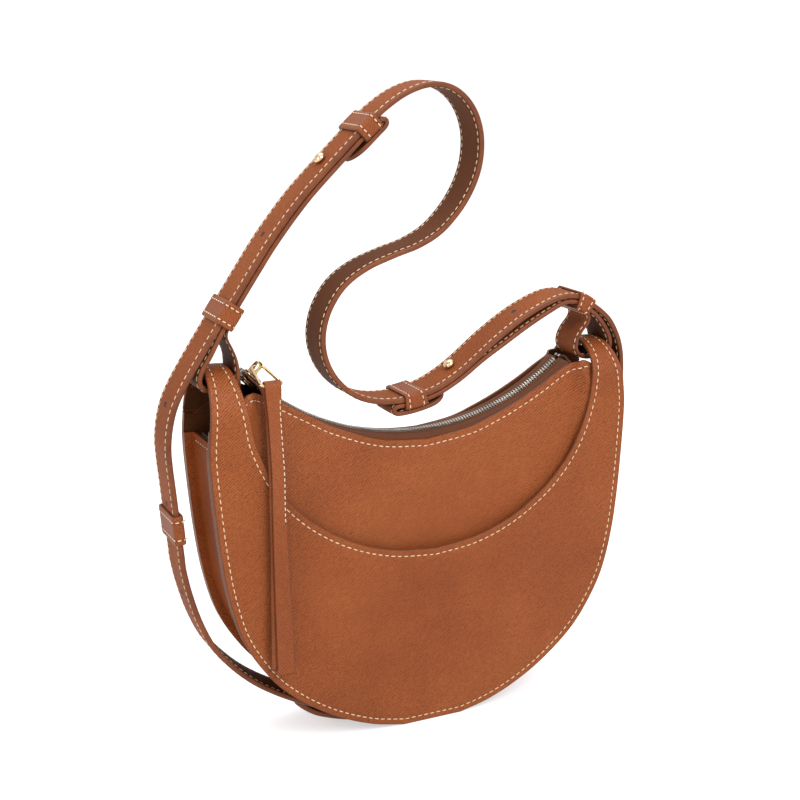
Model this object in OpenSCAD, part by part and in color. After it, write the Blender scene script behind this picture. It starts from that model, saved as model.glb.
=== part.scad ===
// Half moon shoulder bag: a crescent leather body with a curved zip, two ears
// that fold over the top, and a long belt strap hung in the ears.
// X to the right, Y to the back, Z up, the origin on the surface it stands on,
// below the middle of the zip.

/* [Body] */
// Width of the half moon across its widest part
bag_w = 250; // [240:5:260]
// Depth from the front face to the back face at the sewn edge
bag_d = 50; // [48:1:54]
// Thickness of the two pocket leathers
pocket_t = 2.0; // [1.8:0.1:2.0]
// Thickness of the front and back panel leather
panel_t = 1.8; // [1.4:0.1:1.8]
// Thickness of the gusset leather
gusset_t = 1.8; // [1.4:0.1:2.0]
// Depth of the zip opening between the two top edges
mouth_d = 25.2; // [24:0.2:28]
// How far each pocket bellies out at its mouth
pocket_belly = 3.5; // [2:0.5:4]

/* [Strap] */
// Width of the strap leather
strap_w = 24; // [20:1:24]
// Thickness of the belt strap
belt_t = 3.0; // [2.6:0.1:3.0]
// Thickness of the anchor straps
anchor_t = 2.6; // [2.2:0.1:2.6]
// Wall of the leather keepers
keeper_t = 1.3; // [1.2:0.1:1.4]
// Length of the end keepers along the strap
keeper_l = 13; // [10:1:14]
// Length of the side keeper along the strap
side_keeper_l = 16; // [12:1:18]
// Radius of the adjustment holes
hole_r = 1.4; // [1.2:0.1:1.6]
// Radius of a stud's domed head
stud_r = 3.3; // [3:0.1:3.6]

/* [Zip] */
// Radius of the arc that the zip follows
zip_r = 140; // [138:1:142]
// Angle of the chain's left end along that arc, from the middle
zip_left = 47.4; // [46.8:0.2:47.6]
// Angle of the chain's right end
zip_right = 39.6; // [38:0.2:39.8]
// Where the slider stops when the bag is closed, in degrees from the middle
slider_a = -45; // [-45:0.5:-40]
// Thickness of the ring's wire
ring_wire = 1.8; // [1.6:0.1:2]
// Length of the leather pull below the ring
pull_len = 158; // [120:2:160]
// Width of the leather pull
pull_w = 9; // [8:0.2:9]

/* [Hidden] */
$fn = 48;
K = bag_w / 250;

tan = [0.60, 0.31, 0.16];
tan2 = [0.56, 0.28, 0.14];
inside = [0.36, 0.21, 0.13];
cloth = [0.55, 0.45, 0.35];
gold = [0.83, 0.68, 0.38];
metal = [0.50, 0.43, 0.32];

// ---- curves through hand-picked points ----
function cr1(a, b, c, d, t) =
  0.5 * ((2*b) + (c - a)*t + (2*a - 5*b + 4*c - d)*t*t + (3*b - a - 3*c + d)*t*t*t);
function kat(k, i) = i < 0 ? 2*k[0] - k[1] : (i >= len(k) ? 2*k[len(k)-1] - k[len(k)-2] : k[i]);
function crp(k, u) = let (n = len(k) - 1, i = min(floor(u), n - 1))
  cr1(kat(k, i-1), kat(k, i), kat(k, i+1), kat(k, i+2), u - i);
function cr(k, n) = [for (j = [0 : (len(k)-1)*n]) crp(k, j/n)];
function mir(p) = [for (i = [len(p)-1 : -1 : 0]) [-p[i][0], p[i][1]]];
function unit(v) = v / norm(v);
function tang(p, i) = unit(p[min(i+1, len(p)-1)] - p[max(i-1, 0)]);
function nrm(p, i) = let (t = tang(p, i)) [-t[1], t[0]];
// the same curve moved d to its left
function side(p, d) = [for (i = [0 : len(p)-1]) p[i] + d * nrm(p, i)];
function rev(p) = [for (i = [len(p)-1 : -1 : 0]) p[i]];
function clamp(x, a, b) = min(max(x, a), b);
function sm(x) = let (t = clamp(x, 0, 1)) t*t*(3 - 2*t);

// sewn edge of the half moon, from the flat it stands on up to the ear
out_k = [[18,0],[37,4.5],[56,12.5],[74,23.5],[91,38],[103,54],[112,72],[118,95],
         [121.5,120],[124,150],[125,172],[124,186]];
// mouth of a pocket, from the middle up to the ear
mouth_l = [[-1,104.3],[24,107.4],[47,115.3],[68.2,128.5],[84.4,144.8],[94,161.4],[99.8,176.7],[101.5,186]];
mouth_r = [[1,104.3],[26,107.1],[49,114.9],[70.3,128],[86.4,144.2],[96,160.8],[101.4,176.5],[103,186]];
// top edge of the front and back panels, left and right of the zip's lowest point
top_l = [[-3.5,163],[24,166.4],[50,176.2],[66,185.2],[79.5,193.2],[92,199.6],[98.5,202.2],[104,199.5],[109,191.5],[119,184.5]];
top_r = [[3.5,163],[30,166.3],[46,171.4],[61,177.6],[75.6,185],[88,192.3],[98,197.2],[104.5,197.2],[110,191],[119,184.5]];
NS = 3;
out_r = concat([[0,0],[9,0]], cr(concat([[18,0]], [for (i=[1:11]) out_k[i]]), NS)) * K;
NO = len(out_r) - 1;
function mouth_at(u, s) = K * crp(s < 0 ? mouth_l : mouth_r, 7*u);
function top_at(u, s) = K * crp(s < 0 ? top_l : top_r, 9*u);
function top_z(x) = let (a = x/K) K * (
  abs(a - 3.5) < 27 ? 163 + 3.4*pow((a - 3.5)/27, 2)
  : a < 0 ? lookup(-a, [for (i = [1:6]) top_l[i]]) : lookup(a, [for (i = [1:6]) top_r[i]]));

yf = bag_d/2;                        // front face of the pockets at the edge
y_pk = yf - pocket_t;                // back of a pocket leather
y_pn = y_pk - panel_t;               // back of a panel
y_gs = y_pn - gusset_t;              // inner face of a gusset flange
ear_z = 187*K;                       // height where an ear begins to fold over

// how far a panel leans in towards the zip at a point
function lean(x, z) = let (d = max(top_z(x) - z, 0), a = abs(x)/K)
  (y_pk - panel_t/2 - mouth_d/2) * pow(clamp(1 - d/(78*K), 0, 1), 1.6) * (1 - sm((a - 93)/11));
function panel_y(x, z) = min(y_pk - panel_t/2 - lean(x, z), y_pk - panel_t/2 - (x > 0 ? 0.45 : 0.28)*max(z - ear_z + 0.5, 0));
// how far a pocket bellies out: nothing at the sewn edge, most at the mouth's middle
function belly(x, v) = pocket_belly * v * (2 - v) * pow(clamp(1 - pow(abs(x)/(103*K), 2), 0, 1), 1);

// closed sheet between two grids of points of the same size
module sheet(P, Q) {
  m = len(P); n = len(P[0]); o = m*n;
  function id(i, j) = i*n + j;
  polyhedron(points = concat([for (r = P) each r], [for (r = Q) each r]),
    faces = concat(
      [for (i=[0:m-2], j=[0:n-2]) each [[id(i,j), id(i,j+1), id(i+1,j)], [id(i,j+1), id(i+1,j+1), id(i+1,j)]]],
      [for (i=[0:m-2], j=[0:n-2]) each [[o+id(i,j), o+id(i+1,j), o+id(i,j+1)], [o+id(i,j+1), o+id(i+1,j), o+id(i+1,j+1)]]],
      [for (i=[0:m-2]) each [[id(i,0), id(i+1,0), o+id(i,0)], [id(i+1,0), o+id(i+1,0), o+id(i,0)]]],
      [for (i=[0:m-2]) each [[id(i,n-1), o+id(i,n-1), id(i+1,n-1)], [id(i+1,n-1), o+id(i,n-1), o+id(i+1,n-1)]]],
      [for (j=[0:n-2]) each [[id(0,j), o+id(0,j), id(0,j+1)], [id(0,j+1), o+id(0,j), o+id(0,j+1)]]],
      [for (j=[0:n-2]) each [[id(m-1,j), id(m-1,j+1), o+id(m-1,j)], [id(m-1,j+1), o+id(m-1,j+1), o+id(m-1,j)]]]));
}

// grid of [x, z] points from the sewn edge (v = 0) to an upper curve (v = 1), left to right
function lerp(a, b, t) = a + (b - a)*t;
function half_grid(o, t, nv) = [for (i = [0 : len(o)-1]) [for (j = [0:nv]) lerp(o[i], t[i], j/nv)]];
function tops(s) = [for (i = [0:NO]) top_at(i/NO, s)];
// a left half, given with its x reversed, joined to a right half
function join(l, r) = concat([for (i = [len(l)-1 : -1 : 1]) [for (p = l[i]) [-p[0], p[1]]]], r);
panel_g = join(half_grid(out_r, tops(-1), 8), half_grid(out_r, tops(1), 8));

module panel_sheet(s) {
  // s = -1 front, 1 back
  A = [for (c = panel_g) [for (p = c) [p[0], s*(panel_y(p[0], p[1]) + panel_t/2 - 0.02), p[1]]]];
  B = [for (c = panel_g) [for (p = c) [p[0], s*(panel_y(p[0], p[1]) - panel_t/2), p[1]]]];
  if (s < 0) sheet(B, A); else sheet(A, B);
}
module front_panel() { color(tan) panel_sheet(-1); }
module back_panel() { color(tan) panel_sheet(1); }

// a pocket leather: the flat crescent, and for the front one the ears that fold
// over the top and end on the back face
function pocket_flat(off, s) = [for (i = [0:NO]) [for (j = [0:5]) let (v = j/5, p = lerp(out_r[i], mouth_at(i/NO, s), v))
  [p[0], -(yf - off + belly(p[0], v)), p[1]]]];
// height of an ear's arch over the fold's start, and its two edges
function rise(s) = (s < 0 ? 28.5 : 20.5)*K;
function ear_x(f, s) = s < 0 ? [lerp(124, 120.6, sin(f))*K, lerp(101.5, 106.6, sin(f))*K]
  : [lerp(124, 120.6, sin(f))*K, lerp(103, 106.5, sin(f))*K];
function ear_fold(off, a0, a1, n, s, m0 = 0, m1 = 0) = [for (i = [0:n]) let (f = lerp(a0, a1, i/n), e = ear_x(f, s))
  [for (j = [0:5]) [lerp(e[0] - m0, e[1] + m1, j/5), -(yf - off)*cos(f), ear_z + (rise(s) - off)*sin(f)]]];
function mirx(g) = [for (i = [len(g)-1 : -1 : 0]) [for (p = g[i]) [-p[0], p[1], p[2]]]];
function pocket_half(off, fold, s) = concat(pocket_flat(off, s), fold ? ear_fold(off, 0, 180, 12, s)
  : [[for (p = ear_fold(off, 0, 0, 1, s)[0]) [p[0], p[1], p[2] - 0.08]]]);
function pocket_grid(off, fold) = let (l = pocket_half(off, fold, -1), r = pocket_half(off, fold, 1))
  concat(mirx([for (i = [1:len(l)-1]) l[i]]), r);
module front_pocket() { color(tan) sheet(pocket_grid(pocket_t, true), pocket_grid(0, true)); }
module back_pocket() { color(tan) mirror([0, 1, 0]) sheet(pocket_grid(pocket_t, false), pocket_grid(0, false)); }

// second ply under each folded ear
module ear_ply(s) {
  o = pocket_t + 0.05;
  color(inside) if (s < 0) sheet(mirx(ear_fold(o + 0.9, 30, 150, 8, s, 2.5, 3.5)), mirx(ear_fold(o, 30, 150, 8, s, 2.5, 3.5)));
  else sheet(ear_fold(o + 0.9, 30, 150, 8, s, 2.5, 3.5), ear_fold(o, 30, 150, 8, s, 2.5, 3.5));
}
module ear_lining_left() ear_ply(-1);
module ear_lining_right() ear_ply(1);

// gusset: a channel with its flanges turned outwards, sewn between the panels
gus_top = 175*K;
function low(p, z) = [for (q = p) if (q[1] <= z) q];
out_low_r = concat(low([for (i = [1:len(out_r)-1]) out_r[i]], gus_top - 2), [[crp(out_k, 10.2)[0]*K, gus_top]]);
out_low = concat(mir(out_low_r), out_low_r);
function inset(p, a, b) = [for (i = [0 : len(p)-1]) let (h = clamp(p[i][1]/(60*K), 0, 1)) p[i] + lerp(a, b, h) * nrm(p, i)];
gus_o = inset(out_low, 7.0, 5.0);
gus_i = inset(out_low, 7.0 + gusset_t, 5.0 + gusset_t);
module band(a, b) { polygon(concat(a, rev(b))); }
module in_y(y0, y1) { translate([0, y1, 0]) rotate([90, 0, 0]) linear_extrude(y1 - y0) children(); }
module gusset() {
  color(tan2) {
    in_y(-y_pn + 0.02, y_pn - 0.02) band(gus_o, gus_i);
    in_y(-y_pn + 0.02, -y_gs) band(out_low, gus_i);
    in_y(y_gs, y_pn - 0.02) band(out_low, gus_i);
  }
}

// lining: two sheets that follow the panels and a strip inside the gusset
lin_o = side(out_r, 10.3);
function lin_half(s) = half_grid([for (i = [0:2:28]) lin_o[i]], [for (i = [0:2:28]) lerp(lin_o[i], tops(s)[i], 0.9)], 6);
lin_g = join(lin_half(-1), lin_half(1));
module lining_sheet(s) {
  A = [for (c = lin_g) [for (p = c) [p[0], s*(min(panel_y(p[0], p[1]) - panel_t/2, y_gs) - 0.3), p[1]]]];
  B = [for (c = lin_g) [for (p = c) [p[0], s*(min(panel_y(p[0], p[1]) - panel_t/2, y_gs) - 0.8), p[1]]]];
  if (s < 0) sheet(B, A); else sheet(A, B);
}
module lining_front() { color(cloth) lining_sheet(-1); }
module lining_back() { color(cloth) lining_sheet(1); }
lg = 7.0 + gusset_t + 2.2;
module lining_gusset() {
  color(cloth) in_y(-y_gs + 1.4, y_gs - 1.4)
    band(inset(out_low, lg, lg - 2), inset(out_low, lg + 0.6, lg - 1.4));
}
// stiffening board between the gusset and its lining
module bottom_board() {
  b = [for (q = out_low) if (abs(q[0]) < 60*K) q];
  color([0.30, 0.27, 0.24]) in_y(-16, 16)
    band(inset(b, 7.0 + gusset_t + 0.1, 7.0 + gusset_t + 0.1), inset(b, 7.0 + gusset_t + 1.6, 7.0 + gusset_t + 1.6));
}

// ---- zip: everything runs along one arc about a Y axis above the bag ----
zip_x = 5.5*K; zip_z = (164.6 + 140)*K + (zip_r - 140);
function arc(r, a0, a1, n) = [for (i = [0:n]) let (a = lerp(a0, a1, i/n)) [zip_x + r*sin(a), zip_z - r*cos(a)]];
module arc_band(r0, r1, y0, y1, a0, a1) { in_y(y0, y1) band(arc(r1, a0, a1, max(2, ceil((a1-a0)/1.8))), arc(r0, a0, a1, max(2, ceil((a1-a0)/1.8)))); }
tape_y = mouth_d/2 - panel_t/2 - 0.1;
module tape(s) {
  color(cloth) mirror([0, s < 0 ? 0 : 1, 0]) {
    arc_band(zip_r - 0.4, zip_r + 0.4, -tape_y, -2.6, -zip_left, zip_right);
    arc_band(zip_r - 0.4, zip_r + 8, -tape_y, -tape_y + 0.8, -zip_left + 4, zip_right - 4);
  }
}
module zip_tape_front() tape(-1);
module zip_tape_back() tape(1);
module chain(s) { color(metal) mirror([0, s < 0 ? 0 : 1, 0]) arc_band(zip_r - 1.6, zip_r + 1.6, -2.5, -0.8, -zip_left, zip_right); }
module zip_chain_front() chain(-1);
module zip_chain_back() chain(1);
module zip_stops() {
  color(metal) for (a = [-zip_left - 0.4, zip_right + 0.4], s = [-1, 1])
    arc_band(zip_r - 1.7, zip_r + 1.7, s < 0 ? -2.6 : 0.7, s < 0 ? -0.7 : 2.6, a - 0.3, a + 0.3);
}
// leather tab that closes each zip end and is sewn down inside the gusset
tab_l = [[101,212],[101,208.5],[101.2,204.5],[102.3,200],[105,194.5],[109,187],[112.3,177],[114.2,163]];
tab_r = [[98.6,197.6],[99.4,195.2],[101.2,193],[104.5,190.6],[108.6,186],[111.8,177],[114.2,163]];
module ztab(s) {
  p = cr(s < 0 ? tab_l : tab_r, 3)*K;
  color(tan2) mirror([s < 0 ? 1 : 0, 0, 0]) in_y(-6, 6) band(side(p, 0.8), side(p, -0.8));
}
module zip_tab_left() ztab(-1);
module zip_tab_right() ztab(1);

// slider: two curved plates with side rails, joined by a web that runs
// between the two halves of the chain
module slider_body() {
  a0 = slider_a - 2; a1 = slider_a + 2;
  color(gold) {
    arc_band(zip_r - 3.4, zip_r - 2.0, -4.6, 4.6, a0, a1);
    arc_band(zip_r + 2.0, zip_r + 3.4, -4.6, 4.6, a0, a1);
    arc_band(zip_r - 2.2, zip_r - 0.8, -4.6, -3.1, a0, a1);
    arc_band(zip_r - 2.2, zip_r - 0.8, 3.1, 4.6, a0, a1);
    arc_band(zip_r + 0.8, zip_r + 2.2, -4.6, -3.1, a0, a1);
    arc_band(zip_r + 0.8, zip_r + 2.2, 3.1, 4.6, a0, a1);
    arc_band(zip_r - 2.2, zip_r + 2.2, -0.4, 0.4, a0 + 0.2, a0 + 1.8);
  }
}
bail_a = slider_a - 0.7;
bail_r = zip_r - 7.7;
bx = zip_x + bail_r*sin(bail_a); bz = zip_z - bail_r*cos(bail_a);
module slider_bail() {
  color(gold) {
    arc_band(zip_r - 10.8, zip_r - 3.4, -3.3, -2.2, bail_a - 0.3, bail_a + 0.3);
    arc_band(zip_r - 10.8, zip_r - 3.4, 2.2, 3.3, bail_a - 0.3, bail_a + 0.3);
    arc_band(zip_r - 10.8, zip_r - 9.8, -3.3, 3.3, bail_a - 0.3, bail_a + 0.3);
  }
}
// long ring: round where it hangs in the bail, widening to a straight bar
ring_l = 23; ring_w = 11.4; ring_r0 = 3.4; ring_tilt = 13.5;
module pull_ring() {
  w = ring_w/2; q = [[w, -ring_l + 1.9], [w - 0.15, -ring_l + 1.1], [w - 0.6, -ring_l + 0.4], [w - 1.4, -ring_l]];
  p = concat([for (i = [0:14]) let (a = 180*i/14) [ring_r0*cos(a), ring_r0*(sin(a) - 1)]],
    [for (v = q) [-v[0], v[1]]], rev(q));
  m = len(p); n = 14; r = ring_wire/2;
  pts = [for (i = [0:m-1]) let (t = unit(p[(i+1)%m] - p[(i+m-1)%m])) for (j = [0:n-1]) let (b = 360*j/n)
    [p[i][0] + r*cos(b)*t[1], p[i][1] - r*cos(b)*t[0], r*sin(b)]];
  color(gold) translate([bx, 0.3, bz]) rotate([ring_tilt, 0, 0]) polyhedron(points = pts,
    faces = [for (i = [0:m-1], j = [0:n-1]) let (a = i*n + j, b = i*n + (j+1)%n, c = ((i+1)%m)*n + j, d = ((i+1)%m)*n + (j+1)%n)
      each [[a, b, c], [b, d, c]]]);
}
bar_y = 0.3 - ring_l*cos(ring_tilt);
bar_z = bz - ring_l*sin(ring_tilt);
pull_x = bx;
// leather pull: one strip looped over the ring's bar, its two plies hanging in front
module leather_pull() {
  t = 1.5; g = 2.0; y = bar_y; z = bar_z; e = -yf - pocket_belly;
  back = cr([[e - 1.9, z - pull_len + 3], [e - 1.9, z - 100], [e - 1.8, z - 62], [e - 0.2, z - 45], [y - 1.4, z - 24], [y + 0.6, z - 12], [y + g, z - 3]], 4);
  turn = [for (i = [0:10]) [y + g*cos(18*i), z + g*sin(18*i)]];
  front = cr([[y - g, z - 3], [y - 1.9, z - 12], [y - 3.5, z - 24], [e - 2.3, z - 45], [e - 3.8, z - 62], [e - 3.9, z - 100], [e - 3.9, z - pull_len]], 4);
  path = concat(back, turn, front);
  color(tan2) translate([pull_x - pull_w/2, 0, 0]) rotate([90, 0, 90]) linear_extrude(pull_w)
    band(side(path, t/2), side(path, -t/2));
}

// ---- strap: every layer is a ribbon of constant width along a curve in XZ ----
// belt over the shoulder: from above the left ear, round the loop, to above the right ear
belt_k = [[-122.7,223.5],[-115.6,233.8],[-108.4,244],[-101.2,254.2],[-94.1,264.3],[-81.9,281],[-65,300.8],
  [-47.4,317.8],[-28,335.6],[-16,345.2],[-4,352],[8.5,355.4],[20,354],[29,348.4],[35.5,339.5],[38.8,328.5],
  [38.8,317],[36.3,306.5],[31,295.8],[23.5,286],[13.5,277],[1,270.8],[-13,266.8],[-29,261.3],[-42,253.3],
  [-50.5,242.5],[-54.8,231],[-55.3,219.5],[-52,208.5],[-45.5,199],[-36.5,191.8],[-26,187.8],[-15,186.4],
  [-4,187],[8,189.6],[17,193.2],[27.3,199],[37.5,206.3],[47.5,213.8],[65.3,225],[82,232.4],[93,234.8],
  [102.5,233.4],[112.2,227.4],[121.6,219.3],[127.6,209],[130.3,199.7]];
// the same belt down the left side and under the bag
left_k = [[-108.4,244],[-115.6,233.8],[-122.7,223.5],[-129,214],[-134.2,205.6],[-138.4,197],[-141.2,187],
  [-142.5,176.5],[-142.2,166],[-141.5,157],[-140.9,149],[-140.3,141],[-139.7,133],[-139.1,125],[-138.5,117],
  [-137.9,109],[-135.2,95],[-130.5,78.5],[-123.5,62.6],[-113,48.9],[-101.3,37.6],[-87,27.6],[-71.2,19],
  [-50,9.6],[-30,4.8],[-10,4.8],[10,4.8],[30,4.8],[49,9.6],[65,16.4],[74,22.6]];
// and down the right side, under the left one
right_k = [[102.5,233.4],[112.2,227.4],[121.6,219.3],[127.6,209],[130.3,199.7],[131.1,190],[130.9,178],[130,166],
  [129.2,157],[128.3,149],[127.7,141],[127.1,133],[126.3,125],[125.4,117],[124.3,109],[122.2,98],[118.6,83],
  [114.4,65.2],[104.2,48.6],[91.4,33.6],[78.6,21.6],[65,12.2],[48,5.2],[30,1.5],[10,1.5],[-10,1.5],
  [-30,1.5],[-49,5.5],[-64,10.8],[-73.5,15.6]];

function seg(k, u0, u1, n) = [for (i = [0:n]) crp(k, lerp(u0, u1, i/n))*K];
lay = -(belt_t/2 + anchor_t/2 + 0.25);          // anchor strap under the belt
end_t = 1.1;                                   // pared end of an anchor strap
lay2 = lay - anchor_t/2 - 0.25 - end_t/2;      // which lies under that
ret = lay - anchor_t - keeper_t - 0.55;         // folded end under the keeper
function ofs(k, u0, u1, n, d0, d1) = let (p = seg(k, u0, u1, n))
  [for (i = [0:n]) let (q = crp(k, lerp(u0, u1, i/n) + 0.04) - crp(k, lerp(u0, u1, i/n) - 0.04), t = unit(q))
    p[i] + lerp(d0, d1, i/n) * [-t[1], t[0]]];
function bend(u, s) = let (q = unit(crp(belt_k, u + 0.04) - crp(belt_k, u - 0.04)), n = [-q[1], q[0]],
    c = crp(belt_k, u)*K + (lay + ret)/2 * n, r = (lay - ret)/2)
  [for (i = [1:9]) let (a = 18*i) c - r*cos(a)*n + s*r*sin(a)*q];

module ribbon(p, t, w = strap_w) { in_y(-w/2, w/2) band(side(p, t/2), side(p, -t/2)); }
// hole square to a strap at key u
module drill(k, u, r, d0, d1) {
  c = crp(k, u)*K; q = crp(k, u + 0.04) - crp(k, u - 0.04); a = atan2(q[1], q[0]);
  translate([c[0], 0, c[1]]) rotate([0, -a, 0]) translate([0, 0, d0]) cylinder(r = r, h = d1 - d0);
}
// about the swing axis through both ears
module swing_cyl(r, s) { translate([s < 0 ? -160*K : 98*K, 0, ear_z]) rotate([0, 90, 0]) cylinder(r = r, h = 62*K, $fn = 128); }
cut_l = 40*K; cut_r = 35.5*K;

module belt_upper() {
  color(tan) difference() {
    ribbon(cr(belt_k, 3)*K, belt_t);
    swing_cyl(cut_l + 0.15, -1);
    swing_cyl(cut_r + 0.15, 1);
    for (u = [1.96, 5.0, 39.05, 42.95]) drill(belt_k, u, hole_r, -4, 4);
    for (u = [6.95, 35.85]) drill(belt_k, u, hole_r + 0.5, -4, 4);
  }
}
module side_belt(k, s, r, holes) {
  p = cr(k, 3)*K;
  color(tan) difference() {
    ribbon(p, belt_t);
    difference() {
      translate([s < 0 ? -160 : 98, -30, ear_z]) cube([62, 60, 120]);
      swing_cyl(r - 1.5, s);
    }
    for (u = holes) drill(k, u, hole_r, -4, 4);
  }
}
module belt_side_left() side_belt(left_k, -1, cut_l, [5.0, 10.6, 16.1]);
module belt_side_right() side_belt(right_k, 1, cut_r, [5.4, 11.5, 16.3]);

// anchor straps: folded end, through the end keeper, down under the belt, outer
// leg, under the ear and back up to the lower keeper
left_leg = [[-112.9,231.8],[-118.4,222.2],[-122.9,215.5],[-124.4,210],[-123,206.2],[-119.4,204.8],[-113,204.7],
  [-109,204.7],[-105.3,205.9],[-103.7,209],[-103.4,213.6],[-104.1,220],[-106.4,226.2],[-109,231.8]];
left_path = concat(
  ofs(belt_k, 7.3, 8.5, 8, ret - 0.2, ret),
  bend(8.5, 1),
  ofs(belt_k, 8.48, 1.4, 36, lay, lay),
  cr(concat([for (p = left_leg) p*K], ofs(belt_k, 1.42, 2.45, 4, lay2 - 0.1, lay2)), 3));
right_leg = [[114.3,221.4],[118.8,215.6],[122,209.8],[123.3,205],[122,200.6],[118,198.6],[111,198.1],[105.5,198.3],
  [101.9,200.2],[100.2,204.4],[101.2,209.4],[104,213.8],[107.1,217],[108.8,219.6],[108.9,222.3]];
right_path = concat(
  rev(concat(ofs(belt_k, 32.15, 33.8, 9, ret, ret), ofs(belt_k, 34, 34.9, 5, ret + 0.1, ret + 1.1))),
  bend(32.15, -1),
  ofs(belt_k, 32.17, 36.4, 18, lay, lay),
  [for (i = [1:23]) let (u = lerp(36.4, 41.6, i/24)) ofs(belt_k, u, u + 0.01, 1, lay - 2.6*pow(sin(180*i/24), 2), lay)[0]],
  ofs(belt_k, 41.6, 43.0, 8, lay, lay - 0.3),
  cr(concat([for (p = right_leg) p*K], ofs(belt_k, 42.78, 41.92, 3, lay2 - 0.1, lay2)), 3));
// thickness of an anchor strap at its point i: pared down towards the end
function pared(p, i) = lerp(anchor_t, end_t, sm((i - len(p) + 34)/12));
module anchor(p, u) {
  a = [for (i = [0 : len(p)-1]) p[i] + pared(p, i)/2 * nrm(p, i)];
  b = [for (i = [0 : len(p)-1]) p[i] - pared(p, i)/2 * nrm(p, i)];
  color(tan) difference() {
    in_y(-strap_w/2, strap_w/2) band(a, b);
    drill(belt_k, u, 1.7, lay - anchor_t, lay + anchor_t);
  }
}
module anchor_strap_left() anchor(left_path, 6.95);
module anchor_strap_right() anchor(right_path, 35.85);

// leather keeper that follows the strap from key u0 to u1 and holds the layers
// between the offsets d0 and d1
module keeper(k, u0, u1, d0, d1, n = 6) {
  w = strap_w/2 + 0.4; e = keeper_t;
  o = ofs(k, u0, u1, n, d1 + e, d1 + e); oi = ofs(k, u0, u1, n, d1, d1);
  i = ofs(k, u0, u1, n, d0 - e, d0 - e); ii = ofs(k, u0, u1, n, d0, d0);
  color(tan2) {
    in_y(-w - e, w + e) band(o, oi);
    in_y(-w - e, w + e) band(ii, i);
    for (s = [-1, 1]) in_y(s < 0 ? -w - e : w, s < 0 ? -w : w + e) band(o, i);
  }
}
top_gap = belt_t/2 + 0.3;
module end_keeper_left() keeper(belt_k, 8 - keeper_l/50, 8 + keeper_l/34, lay - anchor_t/2 - 0.3, top_gap);
module end_keeper_right() keeper(belt_k, 33.1 - keeper_l/24, 33.1 + keeper_l/24, lay - anchor_t/2 - 0.3, top_gap);
module lower_keeper_left() keeper(belt_k, 2 - keeper_l/25, 2 + keeper_l/25, lay2 - end_t/2 - 0.35, top_gap);
module lower_keeper_right() keeper(belt_k, 42.35 - 0.48, 42.35 + 0.48, lay2 - end_t/2 - 0.35, top_gap);
module side_keeper() keeper(left_k, 12.1 - side_keeper_l/16, 12.1 + side_keeper_l/16, -top_gap, top_gap, 1);

// button studs: head and post through the anchor strap and the belt, held by a
// screw from the back
module stud(u) {
  c = crp(belt_k, u)*K; q = crp(belt_k, u + 0.04) - crp(belt_k, u - 0.04);
  translate([c[0], 0, c[1]]) rotate([0, -atan2(q[1], q[0]), 0]) children();
}
module stud_heads() {
  color(gold) for (u = [6.95, 35.85]) stud(u) translate([0, 0, lay - anchor_t/2]) {
    difference() {
      cylinder(r = 1.5, h = anchor_t + belt_t + 1.6);
      translate([0, 0, -1]) cylinder(r = 1.0, h = 4);
    }
    translate([0, 0, anchor_t + belt_t + 0.4]) rotate_extrude()
      polygon([[0,0],[2.0,0],[stud_r*0.93,0.8],[stud_r,1.7],[stud_r*0.93,2.5],[stud_r*0.74,3.2],[stud_r*0.45,3.7],[0,3.9]]);
  }
}
module stud_screws() {
  color(gold) for (u = [6.95, 35.85]) stud(u) translate([0, 0, lay - anchor_t/2]) {
    translate([0, 0, -1.2]) difference() {
      cylinder(r = 3.4, h = 1.2);
      translate([-3, -0.4, -0.1]) cube([6, 0.8, 0.5]);
    }
    translate([0, 0, -0.1]) cylinder(r = 0.9, h = 3);
  }
}

front_panel();
back_panel();
front_pocket();
back_pocket();
gusset();
ear_lining_left();
ear_lining_right();
lining_front();
lining_back();
lining_gusset();
bottom_board();
zip_tape_front();
zip_tape_back();
zip_chain_front();
zip_chain_back();
zip_stops();
zip_tab_left();
zip_tab_right();
slider_body();
slider_bail();
pull_ring();
leather_pull();
belt_upper();
belt_side_left();
belt_side_right();
anchor_strap_left();
anchor_strap_right();
end_keeper_left();
end_keeper_right();
lower_keeper_left();
lower_keeper_right();
side_keeper();
stud_heads();
stud_screws();
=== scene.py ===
import math
import random

import bpy
import numpy as np
from mathutils import Matrix, Vector


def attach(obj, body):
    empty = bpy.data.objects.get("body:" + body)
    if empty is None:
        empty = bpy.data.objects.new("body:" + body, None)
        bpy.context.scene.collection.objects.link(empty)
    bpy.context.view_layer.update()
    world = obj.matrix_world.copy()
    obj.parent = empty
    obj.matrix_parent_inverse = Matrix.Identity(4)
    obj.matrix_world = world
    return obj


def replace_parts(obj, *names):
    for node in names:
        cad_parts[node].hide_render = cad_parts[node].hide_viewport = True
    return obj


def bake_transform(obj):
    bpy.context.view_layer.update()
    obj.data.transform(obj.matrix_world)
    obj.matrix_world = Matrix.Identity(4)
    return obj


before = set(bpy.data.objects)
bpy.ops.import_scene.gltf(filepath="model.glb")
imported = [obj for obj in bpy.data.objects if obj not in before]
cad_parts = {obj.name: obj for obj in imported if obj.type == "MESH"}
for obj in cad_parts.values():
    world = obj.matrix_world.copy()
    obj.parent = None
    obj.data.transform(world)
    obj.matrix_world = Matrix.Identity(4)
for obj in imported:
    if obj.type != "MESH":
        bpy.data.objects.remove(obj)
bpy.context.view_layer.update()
random.seed(11)
RNG = np.random.default_rng(11)
MM = 0.001

# ------------------------------------------------------------------ curves, in mm


def arr(p):
    return np.array(p, float)


def kat(k, i):
    if i < 0:
        return 2 * k[0] - k[1]
    if i >= len(k):
        return 2 * k[-1] - k[-2]
    return k[i]


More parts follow.
